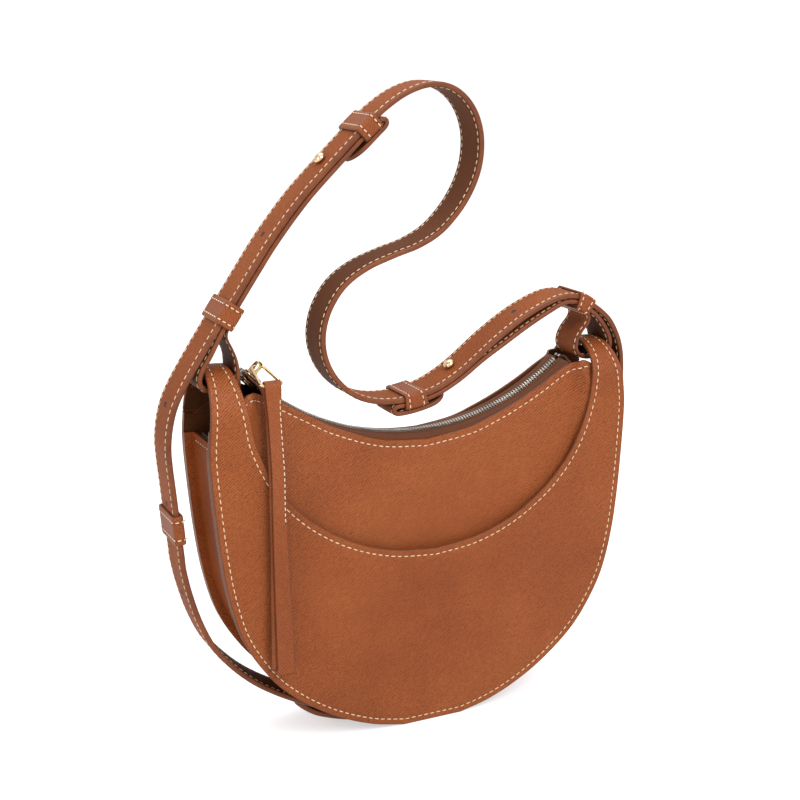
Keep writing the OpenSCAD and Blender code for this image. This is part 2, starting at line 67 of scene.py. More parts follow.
def crp(k, u):
    n = len(k) - 1
    i = min(int(math.floor(u)), n - 1)
    t = u - i
    a, b, c, d = kat(k, i - 1), kat(k, i), kat(k, i + 1), kat(k, i + 2)
    return 0.5 * ((2 * b) + (c - a) * t + (2 * a - 5 * b + 4 * c - d) * t * t + (3 * b - a - 3 * c + d) * t ** 3)


def cr(k, n):
    return np.array([crp(k, j / n) for j in range((len(k) - 1) * n + 1)])


def unit(v):
    return v / (np.linalg.norm(v) + 1e-12)


def lefts(p):
    """Left normals of a 2-D path."""
    t = np.gradient(p, axis=0)
    t /= np.linalg.norm(t, axis=1)[:, None] + 1e-12
    return np.stack([-t[:, 1], t[:, 0]], 1)


def lengths(p):
    return np.concatenate([[0], np.cumsum(np.linalg.norm(np.diff(p, axis=0), axis=1))])


def even(p, step):
    """Points of path p at an even spacing of about step."""
    s = lengths(p)
    n = max(2, int(round(s[-1] / step)) + 1)
    q = np.linspace(0, s[-1], n)
    return np.stack([np.interp(q, s, p[:, j]) for j in range(p.shape[1])], 1)


def smooth(p, times=2):
    p = p.copy()
    for _ in range(times):
        p[1:-1] = 0.25 * p[:-2] + 0.5 * p[1:-1] + 0.25 * p[2:]
    return p


def lerp(a, b, t):
    return a + (b - a) * t


def sm(x):
    t = np.clip(x, 0, 1)
    return t * t * (3 - 2 * t)


# sizes and key points, as in the construction
BAG_D, POCKET_T, PANEL_T, GUSSET_T, MOUTH_D, BELLY = 50.0, 2.0, 1.8, 1.8, 25.2, 3.5
STRAP_W, BELT_T, ANCHOR_T, KEEPER_T, END_T = 24.0, 3.0, 2.6, 1.3, 1.1
ZIP_R, ZIP_X, ZIP_Z, ZIP_LEFT, ZIP_RIGHT, SLIDER_A = 140.0, 5.5, 304.6, -47.4, 39.6, -45.0
YF = BAG_D / 2
Y_PK = YF - POCKET_T
Y_PN = Y_PK - PANEL_T
Y_GS = Y_PN - GUSSET_T
EAR_Z = 187.0

OUT_K = arr([[18, 0], [37, 4.5], [56, 12.5], [74, 23.5], [91, 38], [103, 54], [112, 72], [118, 95],
             [121.5, 120], [124, 150], [125, 172], [124, 186]])
# left halves are given with their x reversed
MOUTH = {-1: arr([[-1, 104.3], [24, 107.4], [47, 115.3], [68.2, 128.5], [84.4, 144.8], [94, 161.4], [99.8, 176.7], [101.5, 186]]),
         1: arr([[1, 104.3], [26, 107.1], [49, 114.9], [70.3, 128], [86.4, 144.2], [96, 160.8], [101.4, 176.5], [103, 186]])}
TOP = {-1: arr([[-3.5, 163], [24, 166.4], [50, 176.2], [66, 185.2], [79.5, 193.2], [92, 199.6], [98.5, 202.2], [104, 199.5],
                [109, 191.5], [119, 184.5]]),
       1: arr([[3.5, 163], [30, 166.3], [46, 171.4], [61, 177.6], [75.6, 185], [88, 192.3], [98, 197.2], [104.5, 197.2],
               [110, 191], [119, 184.5]])}
BELT_K = arr([[-122.7, 223.5], [-115.6, 233.8], [-108.4, 244], [-101.2, 254.2], [-94.1, 264.3], [-81.9, 281],
              [-65, 300.8], [-47.4, 317.8], [-28, 335.6], [-16, 345.2], [-4, 352], [8.5, 355.4], [20, 354],
              [29, 348.4], [35.5, 339.5], [38.8, 328.5], [38.8, 317], [36.3, 306.5], [31, 295.8], [23.5, 286],
              [13.5, 277], [1, 270.8], [-13, 266.8], [-29, 261.3], [-42, 253.3], [-50.5, 242.5], [-54.8, 231],
              [-55.3, 219.5], [-52, 208.5], [-45.5, 199], [-36.5, 191.8], [-26, 187.8], [-15, 186.4], [-4, 187],
              [8, 189.6], [17, 193.2], [27.3, 199], [37.5, 206.3], [47.5, 213.8], [65.3, 225], [82, 232.4],
              [93, 234.8], [102.5, 233.4], [112.2, 227.4], [121.6, 219.3], [127.6, 209], [130.3, 199.7]])
LEFT_K = arr([[-108.4, 244], [-115.6, 233.8], [-122.7, 223.5], [-129, 214], [-134.2, 205.6], [-138.4, 197],
              [-141.2, 187], [-142.5, 176.5], [-142.2, 166], [-141.5, 157], [-140.9, 149], [-140.3, 141],
              [-139.7, 133], [-139.1, 125], [-138.5, 117], [-137.9, 109], [-135.2, 95], [-130.5, 78.5],
              [-123.5, 62.6], [-113, 48.9], [-101.3, 37.6], [-87, 27.6], [-71.2, 19], [-50, 9.6], [-30, 4.8],
              [-10, 4.8], [10, 4.8], [30, 4.8], [49, 9.6], [65, 16.4], [74, 22.6]])
RIGHT_K = arr([[102.5, 233.4], [112.2, 227.4], [121.6, 219.3], [127.6, 209], [130.3, 199.7], [131.1, 190],
               [130.9, 178], [130, 166], [129.2, 157], [128.3, 149], [127.7, 141], [127.1, 133], [126.3, 125],
               [125.4, 117], [124.3, 109], [122.2, 98], [118.6, 83], [114.4, 65.2], [104.2, 48.6],
               [91.4, 33.6], [78.6, 21.6], [65, 12.2], [48, 5.2], [30, 1.5], [10, 1.5], [-10, 1.5],
               [-30, 1.5], [-49, 5.5], [-64, 10.8], [-73.5, 15.6]])
LEFT_LEG = arr([[-112.9, 231.8], [-118.4, 222.2], [-122.9, 215.5], [-124.4, 210], [-123, 206.2], [-119.4, 204.8],
                [-113, 204.7], [-109, 204.7], [-105.3, 205.9], [-103.7, 209], [-103.4, 213.6], [-104.1, 220],
                [-106.4, 226.2], [-109, 231.8]])
RIGHT_LEG = arr([[114.3, 221.4], [118.8, 215.6], [122, 209.8], [123.3, 205], [122, 200.6], [118, 198.6],
                 [111, 198.1], [105.5, 198.3], [101.9, 200.2], [100.2, 204.4], [101.2, 209.4], [104, 213.8],
                 [107.1, 217], [108.8, 219.6], [108.9, 222.3]])

LAY = -(BELT_T / 2 + ANCHOR_T / 2 + 0.25)
LAY2 = LAY - ANCHOR_T / 2 - 0.25 - END_T / 2
RET = LAY - ANCHOR_T - KEEPER_T - 0.55


def at(k, u, d=0.0):
    """Point of key curve k at u, moved d to its left."""
    t = unit(crp(k, u + 0.04) - crp(k, u - 0.04))
    return crp(k, u) + d * arr([-t[1], t[0]])


def ofs(k, u0, u1, n, d0, d1):
    return [at(k, lerp(u0, u1, i / n), lerp(d0, d1, i / n)) for i in range(n + 1)]


def bend(u, s):
    t = unit(crp(BELT_K, u + 0.04) - crp(BELT_K, u - 0.04))
    n = arr([-t[1], t[0]])
    c = crp(BELT_K, u) + (LAY + RET) / 2 * n
    r = (LAY - RET) / 2
    return [c - r * math.cos(math.radians(18 * i)) * n + s * r * math.sin(math.radians(18 * i)) * t
            for i in range(1, 10)]


# ------------------------------------------------------------------ meshes


def make(name, verts, faces, mats=(), face_mats=None, uvs=None, smooth_faces=True):
    me = bpy.data.meshes.new(name)
    me.from_pydata([tuple(v) for v in (np.asarray(verts, float) * MM)], [], [tuple(f) for f in faces])
    for m in mats:
        me.materials.append(m)
    if face_mats is not None:
        me.polygons.foreach_set("material_index", np.asarray(face_mats, np.int32))
    if uvs is not None:
        layer = me.uv_layers.new(name="UVMap")
        uv = np.asarray(uvs, np.float32)
        loops = np.empty(len(me.loops), np.int32)
        me.loops.foreach_get("vertex_index", loops)
        if len(uv) == len(verts):
            layer.data.foreach_set("uv", uv[loops].ravel())
        else:
            layer.data.foreach_set("uv", uv.ravel())
    me.polygons.foreach_set("use_smooth", [smooth_faces] * len(me.polygons))
    me.validate()
    me.update()
    ob = bpy.data.objects.new(name, me)
    bpy.context.scene.collection.objects.link(ob)
    return ob


def outward(ob):
    """Make the normals of a closed mesh point outwards."""
    import bmesh
    bm = bmesh.new()
    bm.from_mesh(ob.data)
    bmesh.ops.recalc_face_normals(bm, faces=bm.faces)
    bm.to_mesh(ob.data)
    bm.free()
    ob.data.update()
    return ob


def shell(name, A, B, uv, mats, bevel=0.55):
    """Closed leather sheet between grid A (outer face) and grid B (inner face)."""
    m, n = A.shape[:2]
    o = m * n
    verts = np.concatenate([A.reshape(-1, 3), B.reshape(-1, 3)])
    UV = np.concatenate([uv.reshape(-1, 2), uv.reshape(-1, 2)])
    faces, fm = [], []
    for i in range(m - 1):
        for j in range(n - 1):
            a, b, c, d = i * n + j, i * n + j + 1, (i + 1) * n + j + 1, (i + 1) * n + j
            faces.append((a, b, c, d)); fm.append(0)
            faces.append((o + a, o + d, o + c, o + b)); fm.append(2)
    for i in range(m - 1):
        a, d = i * n, (i + 1) * n
        faces.append((a, d, o + d, o + a)); fm.append(1)
        a, d = i * n + n - 1, (i + 1) * n + n - 1
        faces.append((a, o + a, o + d, d)); fm.append(1)
    for j in range(n - 1):
        a, b = j, j + 1
        faces.append((a, o + a, o + b, b)); fm.append(1)
        a, b = (m - 1) * n + j, (m - 1) * n + j + 1
        faces.append((a, b, o + b, o + a)); fm.append(1)
    ob = outward(make(name, verts, faces, mats, fm, UV))
    if bevel:
        md = ob.modifiers.new("rounded_rim", "BEVEL")
        md.width = bevel * MM
        md.segments = 3
        md.limit_method = "ANGLE"
        md.angle_limit = math.radians(50)
        md.material = 1
        md.use_clamp_overlap = True
    return ob


def strap_section(w, h, groove=True, crown=0.18, edge=2.4):
    """Half-rounded strap section as (across, along the normal, face material) points."""
    r = min(0.85, h * 0.75)
    ys = [-w + r, -w + edge - 0.6, -w + edge, -w + edge + 0.6]
    ys += list(np.linspace(-w + edge + 1.6, w - edge - 1.6, 7))
    ys += [w - edge - 0.6, w - edge, w - edge + 0.6, w - r]

    def top(y):
        b = h + crown * (1 - (y / w) ** 2) - crown * 0.5
        if groove and abs(abs(y) - (w - edge)) < 0.1:
            b -= 0.28
        return b
    pts = [(y, top(y), 0) for y in ys]
    pts += [(w - r + r * math.sin(a), h - crown * 0.5 - r + r * math.cos(a), 1) for a in np.radians([30, 60, 88])]
    pts += [(w - r + r * math.cos(a), -(h - r) - r * math.sin(a), 1) for a in np.radians([2, 30, 60])]
    yb = [w - r, w - edge, w - edge - 0.8, w * 0.35, -w * 0.35, -w + edge + 0.8, -w + edge, -w + r]
    pts += [(y, -h + (0.2 if groove and abs(abs(y) - (w - edge)) < 0.1 else 0), 2) for y in yb]
    pts += [(-w + r - r * math.sin(a), -(h - r) - r * math.cos(a), 1) for a in np.radians([30, 60, 88])]
    pts += [(-w + r - r * math.cos(a), h - crown * 0.5 - r + r * math.sin(a), 1) for a in np.radians([2, 30, 60])]
    return pts


def sweep(name, path, section, mats, widths=None, close=False, twist=None, shift=None, thick=None):
    """Sweep a section along a 2-D path in XZ. Section y is the bag's Y; its second value is along the left normal."""
    n, m = len(path), len(section)
    N = lefts(path) if not close else None
    if close:
        t = np.roll(path, -1, 0) - np.roll(path, 1, 0)
        t /= np.linalg.norm(t, axis=1)[:, None]
        N = np.stack([-t[:, 1], t[:, 0]], 1)
    s = lengths(path)
    verts, UV = [], []
    peri = np.concatenate([[0], np.cumsum([math.hypot(section[j][0] - section[j - 1][0], section[j][1] - section[j - 1][1])
                                           for j in range(1, m)])])
    for i in range(n):
        k = 1.0 if widths is None else widths[i]
        for j in range(m):
            y, b = section[j][0] * k, section[j][1] * (1.0 if thick is None else thick[i])
            if twist is not None:
                a = twist[i]
                y, b = y * math.cos(a) - b * math.sin(a), y * math.sin(a) + b * math.cos(a)
            if shift is not None:
                y += shift[i]
            verts.append((path[i, 0] + b * N[i, 0], y, path[i, 1] + b * N[i, 1]))
            UV.append((s[i] * MM, section[j][0] * MM))
    faces, fm = [], []
    for i in range(n if close else n - 1):
        for j in range(m):
            a, b = i * m + j, i * m + (j + 1) % m
            c, d = ((i + 1) % n) * m + (j + 1) % m, ((i + 1) % n) * m + j
            faces.append((a, b, c, d))
            fm.append(section[j][2])
    if not close:
        faces.append(tuple(range(m - 1, -1, -1)))
        faces.append(tuple((n - 1) * m + j for j in range(m)))
        fm += [1, 1]
    return outward(make(name, verts, faces, mats, fm, UV))


def round_tip(path, r, w, start=False, end=False):
    """Width factor that rounds the strap's ends."""
    s = lengths(path)
    k = np.ones(len(path))
    if start:
        q = np.clip(s / r, 0, 1)
        k = np.minimum(k, np.sqrt(np.clip(1 - (1 - q) ** 2, 0.03, 1)))
    if end:
        q = np.clip((s[-1] - s) / r, 0, 1)
        k = np.minimum(k, np.sqrt(np.clip(1 - (1 - q) ** 2, 0.03, 1)))
    return k


def dense_ends(path, r=12.5, n=10, start=False, end=False):
    """Add close points at a path's rounded ends."""
    s = lengths(path)
    extra = [r * (1 - math.cos(math.pi / 2 * i / n)) for i in range(n + 1)]
    q = list(s)
    if start:
        q = [v for v in q if v > r] + extra
    if end:
        q = [v for v in q if v < s[-1] - r] + [s[-1] - e for e in extra]
    q = np.array(sorted(set(np.round(q, 5))))
    return np.stack([np.interp(q, s, path[:, j]) for j in range(2)], 1)


def ribbon_at(path, y, b):
    """3-D points and normals of a line on a strap: across y, offset b along the left normal."""
    N = lefts(path)
    P = np.stack([path[:, 0] + b * N[:, 0], np.full(len(path), float(y)) if np.isscalar(y) else y, path[:, 1] + b * N[:, 1]], 1)
    n = np.stack([N[:, 0], np.zeros(len(path)), N[:, 1]], 1) * (1 if np.mean(b) >= 0 else -1)
    return P, n


# ------------------------------------------------------------------ stitches

_T = []
for ring, (x, r) in enumerate(((-1.0, 0.35), (-0.72, 0.85), (0.0, 1.0), (0.72, 0.85), (1.0, 0.35))):
    for q in range(6):
        a = 2 * math.pi * q / 6
        _T.append((x, r * math.cos(a), r * math.sin(a)))
STITCH_V = arr(_T)
STITCH_F = [(i * 6 + q, i * 6 + (q + 1) % 6, (i + 1) * 6 + (q + 1) % 6, (i + 1) * 6 + q) for i in range(4) for q in range(6)]
STITCH_F += [tuple(range(5, -1, -1)), tuple(24 + q for q in range(6))]
# outline of the flat dark disc painted as the shade inside each needle hole
NEEDLE_SHADE_V = arr([(0.55 * math.cos(a), 0.55 * math.sin(a), 0) for a in np.linspace(0, 2 * math.pi, 7)[:-1]])


class Thread:
    """Collects the stitches of one piece."""

    def __init__(self):
        self.v, self.f, self.m, self.n = [], [], [], 0

    def row(self, P, N, pitch=3.9, dash=2.5, wide=0.35, high=0.31, lift=0.02, skip=None):
        s = lengths(P)
        total = s[-1]
        count = max(1, int(round(total / pitch)))
        step = total / count
        for k in range(count):
            c = (k + 0.5) * step
            p = arr([np.interp(c, s, P[:, j]) for j in range(3)])
            if skip is not None and skip(p):
                continue
            a = arr([np.interp(c - 0.45 * step, s, P[:, j]) for j in range(3)])
            b = arr([np.interp(c + 0.45 * step, s, P[:, j]) for j in range(3)])
            n = unit(arr([np.interp(c, s, N[:, j]) for j in range(3)]))
            t = unit(b - a)
            side = unit(np.cross(n, t))
            n = np.cross(t, side)
            tilt = random.uniform(-0.05, 0.09)
            t2 = unit(t + side * tilt)
            s2 = np.cross(n, t2)
            L = dash / 2 * random.uniform(0.93, 1.05)
            V = STITCH_V * arr([L, wide, high])
            W = p + lift * n + V[:, :1] * t2 + V[:, 1:2] * s2 + V[:, 2:] * n
            self._add(W, STITCH_F, 0)
            # a flat dark disc just above the leather at each stitch end: painted shade of the needle hole, not a real
            # hole
            e = p + t * step / 2 + 0.03 * n
            H = e + NEEDLE_SHADE_V[:, :1] * t + NEEDLE_SHADE_V[:, 1:2] * 0.8 * side
            self._add(H, [tuple(range(6))], 1)

    def _add(self, W, F, m):
        self.v.append(W)
        self.f += [tuple(i + self.n for i in f) for f in F]
        self.m += [m] * len(F)
        self.n += len(W)

    def done(self, name, body):
        ob = make(name, np.concatenate(self.v), self.f, (M["thread"], M["stitch_hole_painted_shade"]), self.m)
        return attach(ob, body)


# ------------------------------------------------------------------ materials

M = {}


class Nodes:
    def __init__(self, name):
        self.mat = bpy.data.materials.new(name)
        self.mat.use_nodes = True
        self.t = self.mat.node_tree
        self.p = self.t.nodes["Principled BSDF"]
        M[name] = self.mat

    def n(self, kind, **kw):
        node = self.t.nodes.new(kind)
        for k, v in kw.items():
            if k in node.inputs:
                node.inputs[k].default_value = v
            else:
                setattr(node, k, v)
        return node

    def l(self, a, b):
        self.t.links.new(a, b)

    def ramp(self, src, stops):
        r = self.n("ShaderNodeValToRGB")
        e = r.color_ramp.elements
        while len(e) < len(stops):
            e.new(0.5)
        for x, (pos, col) in zip(e, stops):
            x.position = pos
            x.color = (*col, 1) if len(col) == 3 else col
        self.l(src, r.inputs[0])
        return r.outputs[0]

    def math(self, op, a, b=None):
        m = self.n("ShaderNodeMath", operation=op)
        for i, v in enumerate((a, b)):
            if v is None:
                continue
            if isinstance(v, (int, float)):
                m.inputs[i].default_value = v
            else:
                self.l(v, m.inputs[i])
        return m.outputs[0]

    def mix(self, f, a, b, kind="MIX"):
        m = self.n("ShaderNodeMix", data_type="RGBA", blend_type=kind)
        for i, v in ((0, f), (6, a), (7, b)):
            if isinstance(v, (int, float)):
                m.inputs[i].default_value = v
            elif isinstance(v, (tuple, list)):
                m.inputs[i].default_value = (*v, 1)
            else:
                self.l(v, m.inputs[i])
        return m.outputs[2]

    def bump(self, h, strength, dist, normal=None):
        b = self.n("ShaderNodeBump")
        b.inputs["Strength"].default_value = strength
        b.inputs["Distance"].default_value = dist
        self.l(h, b.inputs["Height"])
        if normal is not None:
            self.l(normal, b.inputs["Normal"])
        return b.outputs[0]


def leather(name, light, mid, dark, rough=0.48, grain=1.0, slant=1.0, uv=True, spec=0.12):
    """Cross-grained leather: slanting short ridges over a fine pebble, with uneven dye."""
    k = Nodes(name)
    co = k.n("ShaderNodeTexCoord")
    src = co.outputs["UV"] if uv else co.outputs["Object"]
    flat = k.n("ShaderNodeMapping")
    flat.inputs["Rotation"].default_value = (0, 0, math.radians(52) * slant)
    flat.inputs["Scale"].default_value = (1, 1, 1)
    k.l(src, flat.inputs[0])
    wave = k.n("ShaderNodeTexWave", wave_type="BANDS", bands_direction="X")
    wave.inputs["Scale"].default_value = 255.0
    wave.inputs["Distortion"].default_value = 5.5
    wave.inputs["Detail"].default_value = 3.0
    wave.inputs["Detail Scale"].default_value = 1.6
    wave.inputs["Detail Roughness"].default_value = 0.62
    k.l(flat.outputs[0], wave.inputs["Vector"])
    brk = k.n("ShaderNodeTexNoise", Scale=620.0, Detail=3.0, Roughness=0.6)
    k.l(src, brk.inputs["Vector"])
    vor = k.n("ShaderNodeTexVoronoi", Scale=900.0)
    k.l(src, vor.inputs["Vector"])
    ridge = k.math("MULTIPLY", wave.outputs["Fac"], brk.outputs["Fac"])
    peb = k.math("MULTIPLY", vor.outputs["Distance"], 0.35)
    height = k.math("ADD", ridge, peb)
    big = k.n("ShaderNodeTexNoise", Scale=16.0, Detail=4.0, Roughness=0.55)
    k.l(co.outputs["Object"], big.inputs["Vector"])
    mid_n = k.n("ShaderNodeTexNoise", Scale=95.0, Detail=4.0, Roughness=0.6)
    k.l(co.outputs["Object"], mid_n.inputs["Vector"])
    tone = k.ramp(big.outputs["Fac"], [(0.30, dark), (0.52, mid), (0.76, light)])
    tone = k.mix(k.math("MULTIPLY", mid_n.outputs["Fac"], 0.35), tone, light)
    valley = k.ramp(height, [(0.14, (0.50, 0.44, 0.42)), (0.42, (1.0, 1.0, 1.0)), (0.72, (1.16, 1.14, 1.12))])
    col = k.mix(0.62 * grain, tone, valley, "MULTIPLY")
    k.l(col, k.p.inputs["Base Color"])
    rr = k.math("ADD", k.math("MULTIPLY", mid_n.outputs["Fac"], 0.16), rough - 0.08)
    rr = k.math("SUBTRACT", rr, k.math("MULTIPLY", ridge, 0.12))
    k.l(rr, k.p.inputs["Roughness"])
    k.p.inputs["Specular IOR Level"].default_value = spec
    soft = k.bump(mid_n.outputs["Fac"], 0.12, 0.0012)
    k.l(k.bump(height, 0.5 * grain, 0.0003, soft), k.p.inputs["Normal"])
    return k.mat


def edge_paint(name, light, dark):
    """Painted, burnished cut edge of the leather."""
    k = Nodes(name)
    co = k.n("ShaderNodeTexCoord")
    a = k.n("ShaderNodeTexNoise", Scale=240.0, Detail=5.0, Roughness=0.65)
    k.l(co.outputs["Object"], a.inputs["Vector"])
    b = k.n("ShaderNodeTexNoise", Scale=30.0, Detail=3.0)
    k.l(co.outputs["Object"], b.inputs["Vector"])
    col = k.ramp(b.outputs["Fac"], [(0.32, dark), (0.68, light)])
    fleck = k.ramp(a.outputs["Fac"], [(0.38, (0.78, 0.74, 0.72)), (0.62, (1.06, 1.05, 1.04))])
    k.l(k.mix(0.7, col, fleck, "MULTIPLY"), k.p.inputs["Base Color"])
    k.l(k.math("ADD", k.math("MULTIPLY", a.outputs["Fac"], 0.2), 0.34), k.p.inputs["Roughness"])
    k.p.inputs["Specular IOR Level"].default_value = 0.22
    k.l(k.bump(a.outputs["Fac"], 0.22, 0.0003), k.p.inputs["Normal"])
    return k.mat


def suede(name, light, dark):
    k = Nodes(name)
    co = k.n("ShaderNodeTexCoord")
    a = k.n("ShaderNodeTexNoise", Scale=900.0, Detail=6.0, Roughness=0.7)
    k.l(co.outputs["Object"], a.inputs["Vector"])
    b = k.n("ShaderNodeTexNoise", Scale=40.0, Detail=4.0)
    k.l(co.outputs["Object"], b.inputs["Vector"])
    col = k.ramp(b.outputs["Fac"], [(0.3, dark), (0.7, light)])
    nap = k.ramp(a.outputs["Fac"], [(0.35, (0.7, 0.68, 0.66)), (0.65, (1.12, 1.1, 1.1))])
    k.l(k.mix(0.8, col, nap, "MULTIPLY"), k.p.inputs["Base Color"])
    k.p.inputs["Roughness"].default_value = 0.82
    k.p.inputs["Specular IOR Level"].default_value = 0.2
    k.l(k.bump(a.outputs["Fac"], 0.4, 0.0003), k.p.inputs["Normal"])
    return k.mat


def thread(name, col):
    k = Nodes(name)
    co = k.n("ShaderNodeTexCoord")
    w = k.n("ShaderNodeTexWave", wave_type="BANDS", bands_direction="DIAGONAL")
    w.inputs["Scale"].default_value = 900.0
    w.inputs["Distortion"].default_value = 2.0
    k.l(co.outputs["Object"], w.inputs["Vector"])
    a = k.n("ShaderNodeTexNoise", Scale=300.0, Detail=3.0)
    k.l(co.outputs["Object"], a.inputs["Vector"])
    t = k.ramp(a.outputs["Fac"], [(0.3, tuple(c * 0.78 for c in col)), (0.7, tuple(min(1, c * 1.08) for c in col))])
    k.l(k.mix(k.math("MULTIPLY", w.outputs["Fac"], 0.25), t, tuple(c * 0.6 for c in col)), k.p.inputs["Base Color"])
    k.p.inputs["Roughness"].default_value = 0.62
    k.p.inputs["Sheen Weight"].default_value = 0.25
    k.l(k.bump(w.outputs["Fac"], 0.4, 0.0002), k.p.inputs["Normal"])
    return k.mat


def weave(name, light, dark, pitch=0.0007, rough=0.85, rib=False):
    """Woven tape or lining: two crossing rows of threads."""
    k = Nodes(name)
    co = k.n("ShaderNodeTexCoord")
    outs = []
    for axis in ("X", "Y"):
        w = k.n("ShaderNodeTexWave", wave_type="BANDS", bands_direction=axis)
        w.inputs["Scale"].default_value = 0.314 / pitch * (1.0 if axis == "X" else (0.45 if rib else 1.0))
        w.inputs["Distortion"].default_value = 0.8
        w.inputs["Detail"].default_value = 1.5
        k.l(co.outputs["UV"], w.inputs["Vector"])
        outs.append(w.outputs["Fac"])
    h = k.math("MAXIMUM", outs[0], outs[1])
    h2 = k.math("MULTIPLY", h, k.math("ADD", k.math("MULTIPLY", outs[0], 0.5), 0.5))
    a = k.n("ShaderNodeTexNoise", Scale=60.0, Detail=4.0)
    k.l(co.outputs["Object"], a.inputs["Vector"])
    base = k.ramp(h2, [(0.2, dark), (0.8, light)])
    k.l(k.mix(k.math("MULTIPLY", a.outputs["Fac"], 0.4), base, dark), k.p.inputs["Base Color"])
    k.p.inputs["Roughness"].default_value = rough
    k.p.inputs["Sheen Weight"].default_value = 0.05
    k.p.inputs["Specular IOR Level"].default_value = 0.12
    k.l(k.bump(h2, 0.6, 0.0003), k.p.inputs["Normal"])
    return k.mat


def metal(name, light, dark, rough=0.2):
    k = Nodes(name)
    co = k.n("ShaderNodeTexCoord")
    a = k.n("ShaderNodeTexNoise", Scale=420.0, Detail=5.0, Roughness=0.7)
    k.l(co.outputs["Object"], a.inputs["Vector"])
    b = k.n("ShaderNodeTexNoise", Scale=90.0, Detail=3.0)
    k.l(co.outputs["Object"], b.inputs["Vector"])
    k.l(k.ramp(b.outputs["Fac"], [(0.3, dark), (0.7, light)]), k.p.inputs["Base Color"])
    k.p.inputs["Metallic"].default_value = 1.0
    k.l(k.math("ADD", k.math("MULTIPLY", a.outputs["Fac"], 0.16), rough - 0.08), k.p.inputs["Roughness"])
    k.l(k.bump(a.outputs["Fac"], 0.06, 0.0002), k.p.inputs["Normal"])
    return k.mat


def plain(name, col, rough, scale=300.0):
    k = Nodes(name)
    co = k.n("ShaderNodeTexCoord")
    a = k.n("ShaderNodeTexNoise", Scale=scale, Detail=5.0)
    k.l(co.outputs["Object"], a.inputs["Vector"])
    k.l(k.ramp(a.outputs["Fac"], [(0.3, tuple(c * 0.8 for c in col)), (0.7, tuple(min(1, c * 1.15) for c in col))]),
        k.p.inputs["Base Color"])
    k.p.inputs["Roughness"].default_value = rough
    k.l(k.bump(a.outputs["Fac"], 0.2, 0.0003), k.p.inputs["Normal"])
    return k.mat


LIGHT, MID, DARK = (0.236, 0.0660, 0.0180), (0.196, 0.0505, 0.0128), (0.159, 0.0383, 0.0097)
leather("leather", LIGHT, MID, DARK, grain=1.55)
# brighter copy of the body leather for the gusset's outer face: painted light that makes up for the shade the gusset
# falls in
leather("leather_side_painted_light", (0.33, 0.085, 0.022), (0.28, 0.068, 0.0165), (0.23, 0.053, 0.0125), grain=1.3, spec=0.03)
leather("leather_strap", (0.225, 0.067, 0.020), (0.182, 0.049, 0.0145), (0.150, 0.038, 0.0112), rough=0.6, grain=1.25, spec=0.04)
leather("leather_small", (0.212, 0.0595, 0.018), (0.172, 0.0435, 0.0127), (0.138, 0.0325, 0.0096), rough=0.5, grain=1.1, spec=0.12)
leather("leather_back", (0.108, 0.037, 0.015), (0.090, 0.030, 0.012), (0.072, 0.024, 0.010), rough=0.64, grain=0.6, spec=0.03)
edge_paint("edge", (0.150, 0.041, 0.012), (0.105, 0.027, 0.008))
edge_paint("edge_dark", (0.11, 0.036, 0.015), (0.07, 0.022, 0.010))
suede("ear_inside", (0.115, 0.050, 0.026), (0.070, 0.030, 0.016))
thread("thread", (0.62, 0.45, 0.28))
# near-black colour painted as the shade inside the needle holes
plain("stitch_hole_painted_shade", (0.05, 0.016, 0.008), 0.8)
weave("tape", (0.135, 0.042, 0.015), (0.075, 0.023, 0.009), 0.0008, rib=True)
weave("lining", (0.17, 0.105, 0.062), (0.10, 0.060, 0.036), 0.0009)
metal("zip_metal", (0.56, 0.51, 0.44), (0.26, 0.23, 0.20), 0.24)
metal("gold", (0.70, 0.54, 0.33), (0.52, 0.38, 0.21), 0.2)
plain("board", (0.12, 0.10, 0.08), 0.9, 160.0)
# near-black painted shade standing in for the inside of the punched holes
plain("punched_hole_painted_shade", (0.02, 0.008, 0.005), 0.9)
LEATHER = (M["leather"], M["edge"], M["leather_back"])
STRAP = (M["leather_strap"], M["edge"], M["leather_back"])
SMALL = (M["leather_small"], M["edge"], M["leather_back"])

# ------------------------------------------------------------------ body of the bag

NS = 8
out_r = np.concatenate([[[0, 0], [4.5, 0], [9, 0], [13.5, 0]], cr(OUT_K, NS)])
NO = len(out_r) - 1


def out_at(i):
    return arr([np.interp(i, range(NO + 1), out_r[:, 0]), np.interp(i, range(NO + 1), out_r[:, 1])])


def mouth_at(i, h):
    return crp(MOUTH[h], 7 * min(i / NO, 1))


def top_at(i, h):
    return crp(TOP[h], 9 * min(i / NO, 1))


TOP_L, TOP_R = cr(TOP[-1], 8)[:49], cr(TOP[1], 8)[:49]


def top_z(x):
    return np.where(x < 3.5, np.interp(-x, TOP_L[:, 0], TOP_L[:, 1]), np.interp(x, TOP_R[:, 0], TOP_R[:, 1]))


def lean(x, z):
    d = np.maximum(top_z(x) - z, 0)
    a = np.abs(x)
    return (Y_PK - PANEL_T / 2 - MOUTH_D / 2) * np.clip(1 - d / 78, 0, 1) ** 1.6 * (1 - sm((a - 93) / 11))


def panel_y(x, z):
    y = Y_PK - PANEL_T / 2
    return np.minimum(y - lean(x, z), y - np.where(x > 0, 0.45, 0.28) * np.maximum(z - EAR_Z + 0.5, 0))


def belly(x, v):
    return BELLY * v * (2 - v) * np.clip(1 - (np.abs(x) / 103) ** 2, 0, 1)


def slack(x, z):
    """Gentle unevenness of a large leather face, in mm, nothing at the edges."""
    return 0.35 * np.sin(x / 31 + 1.3 + 0.4 * np.sin(z / 37)) * np.sin(z / 27 + 0.6) + 0.18 * np.sin(x / 12 + z / 19)


